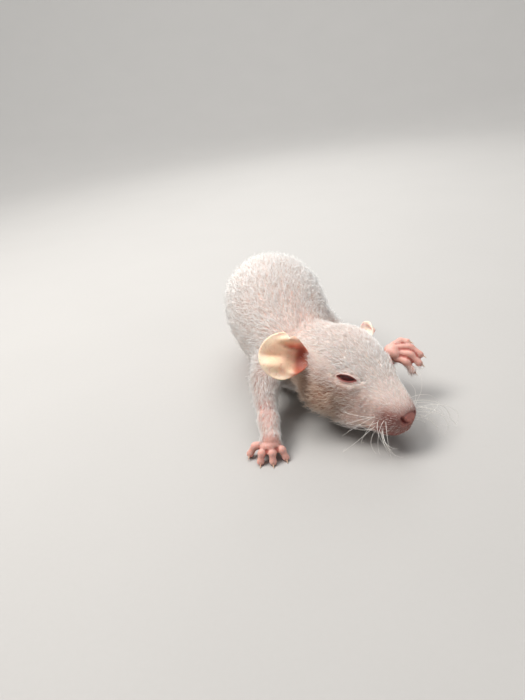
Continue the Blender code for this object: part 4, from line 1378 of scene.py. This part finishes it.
def makeCamera():
    down, roll = math.radians(cameraForm["down"]), math.radians(cameraForm["roll"])
    ahead = Vector((0.0, math.cos(down), -math.sin(down)))
    level = Vector((1.0, 0.0, 0.0))
    upright = level.cross(ahead)
    right = level * math.cos(roll) - upright * math.sin(roll)
    up = level * math.sin(roll) + upright * math.cos(roll)
    data = bpy.data.cameras.new("camera")
    data.lens = cameraForm["focal"] * cameraForm["sensor"]
    data.sensor_width = cameraForm["sensor"]
    data.clip_start, data.clip_end = cameraForm["clip"]
    obj = objectOf(data, "camera")
    turn = Matrix((right, up, -ahead)).transposed().to_4x4()
    obj.matrix_world = Matrix.Translation(Vector(cameraForm["place"]) * mm) @ turn
    scene.camera = obj


# Soft studio light from large areas, on a pale floor that curves up behind
studio = {
    "floor": {"flat": 500, "bend": 450, "rim": (960, 640), "sides": 96},
    # name, place, what it points at, size, power and colour
    "lights": [
        ("keyLight", (-235, 25, 415), (0, -8, 12), 240, 2.05, (1.0, 0.97, 0.94)),
        ("fillLight", (380, -260, 160), (5, -10, 12), 360, 0.22, (0.95, 0.97, 1.0)),
        ("backLight", (60, 380, 300), (0, 0, 16), 260, 0.5, (1.0, 0.99, 0.97)),
        ("wallLight", (0, 300, 800), (0, 820, 120), 900, 6.5, (1.0, 1.0, 1.0)),
    ],
    "sky": (0.94, 0.95, 0.97),
    "skyStrength": 0.36,
}


def makeStudio():
    form = studio["floor"]
    flat, bend, sides = form["flat"], form["bend"], form["sides"]
    rows = [(0.0, 0.0), (flat / 2, 0.0), (flat, 0.0)]
    rows += [(flat + bend * math.sin(a), bend - bend * math.cos(a)) for a in np.linspace(0.1, 1.5, 14)]
    rows.append(form["rim"])
    turns = [math.tau * k / sides for k in range(sides)]
    verts = [(r * math.cos(turn), r * math.sin(turn), z) for r, z in rows for turn in turns]
    faces = [(b, c, d, a) for a, b, c, d in ringFaces(len(rows), sides)]
    floor = objectOf(meshOf("floor", [(np.array(verts, float), faces)]), "floor")
    floor.data.transform(Matrix.Scale(mm, 4))
    dress(floor, surfaceMaterial("paleFloor", surfaces["floor"]))
    for name, place, target, size, power, colour in studio["lights"]:
        light = bpy.data.lights.new(name, "AREA")
        light.shape = "DISK"
        light.size = size * mm
        light.energy = power
        light.color = colour
        obj = objectOf(light, name)
        turn = (Vector(place) - Vector(target)).to_track_quat("Z", "Y").to_matrix().to_4x4()
        obj.matrix_world = Matrix.Translation(Vector(place) * mm) @ turn
    world = bpy.data.worlds.new("studio")
    world.use_nodes = True
    background = world.node_tree.nodes["Background"]
    background.inputs["Color"].default_value = (*studio["sky"], 1.0)
    background.inputs["Strength"].default_value = studio["skyStrength"]
    scene.world = world
    scene.view_settings.view_transform = "Standard"


softPaws, claws = pawShapes()
skin, parts = makeSkin(softPaws)
coatMaterial = surfaceMaterial("coat", surfaces["coat"])
earMaterial = surfaceMaterial("earSkin", surfaces["ear"])
band, groove = foldNape(skin.data, parts)
makeCoat(skin, parts, band, groove)

sculptFace(skin.data, parts)
storeTint(skin.data, skinTint(skin.data, parts, groove))
tailFields(skin.data, parts)
dress(skin, surfaceMaterial("bareSkin", surfaces["skin"]))
finishPiece(skin, [*bodyNodes, *headNodes, *pawNodes.values()])
print("face and skin")

for side, name in ((1, "earLeft"), (-1, "earRight")):
    makeEar(side, name)
eyeMaterial = surfaceMaterial("eye", surfaces["eye"])
for side, name in ((1, "eyeballLeft"), (-1, "eyeballRight")):
    place, radius = face["eye"]["place"], face["eye"]["radius"]
    verts, faces = ellipsoid((side * place[0], *place[1:]), [radius] * 3, finer=5)
    eyeball = objectOf(meshOf(name, [(fromHead(verts), faces)]), name)
    dress(eyeball, eyeMaterial)
    finishPiece(eyeball, ["eye_left" if side > 0 else "eye_right"])
for name, shapes, material in (("whiskers", whiskerShapes(), "whisker"), ("claws", claws, "claw")):
    piece = objectOf(meshOf(name, shapes), name)
    dress(piece, surfaceMaterial(name, surfaces[material]))
    finishPiece(piece)
print("ears, eyes, whiskers and claws")
makeCamera()
makeStudio()
print("camera and studio")
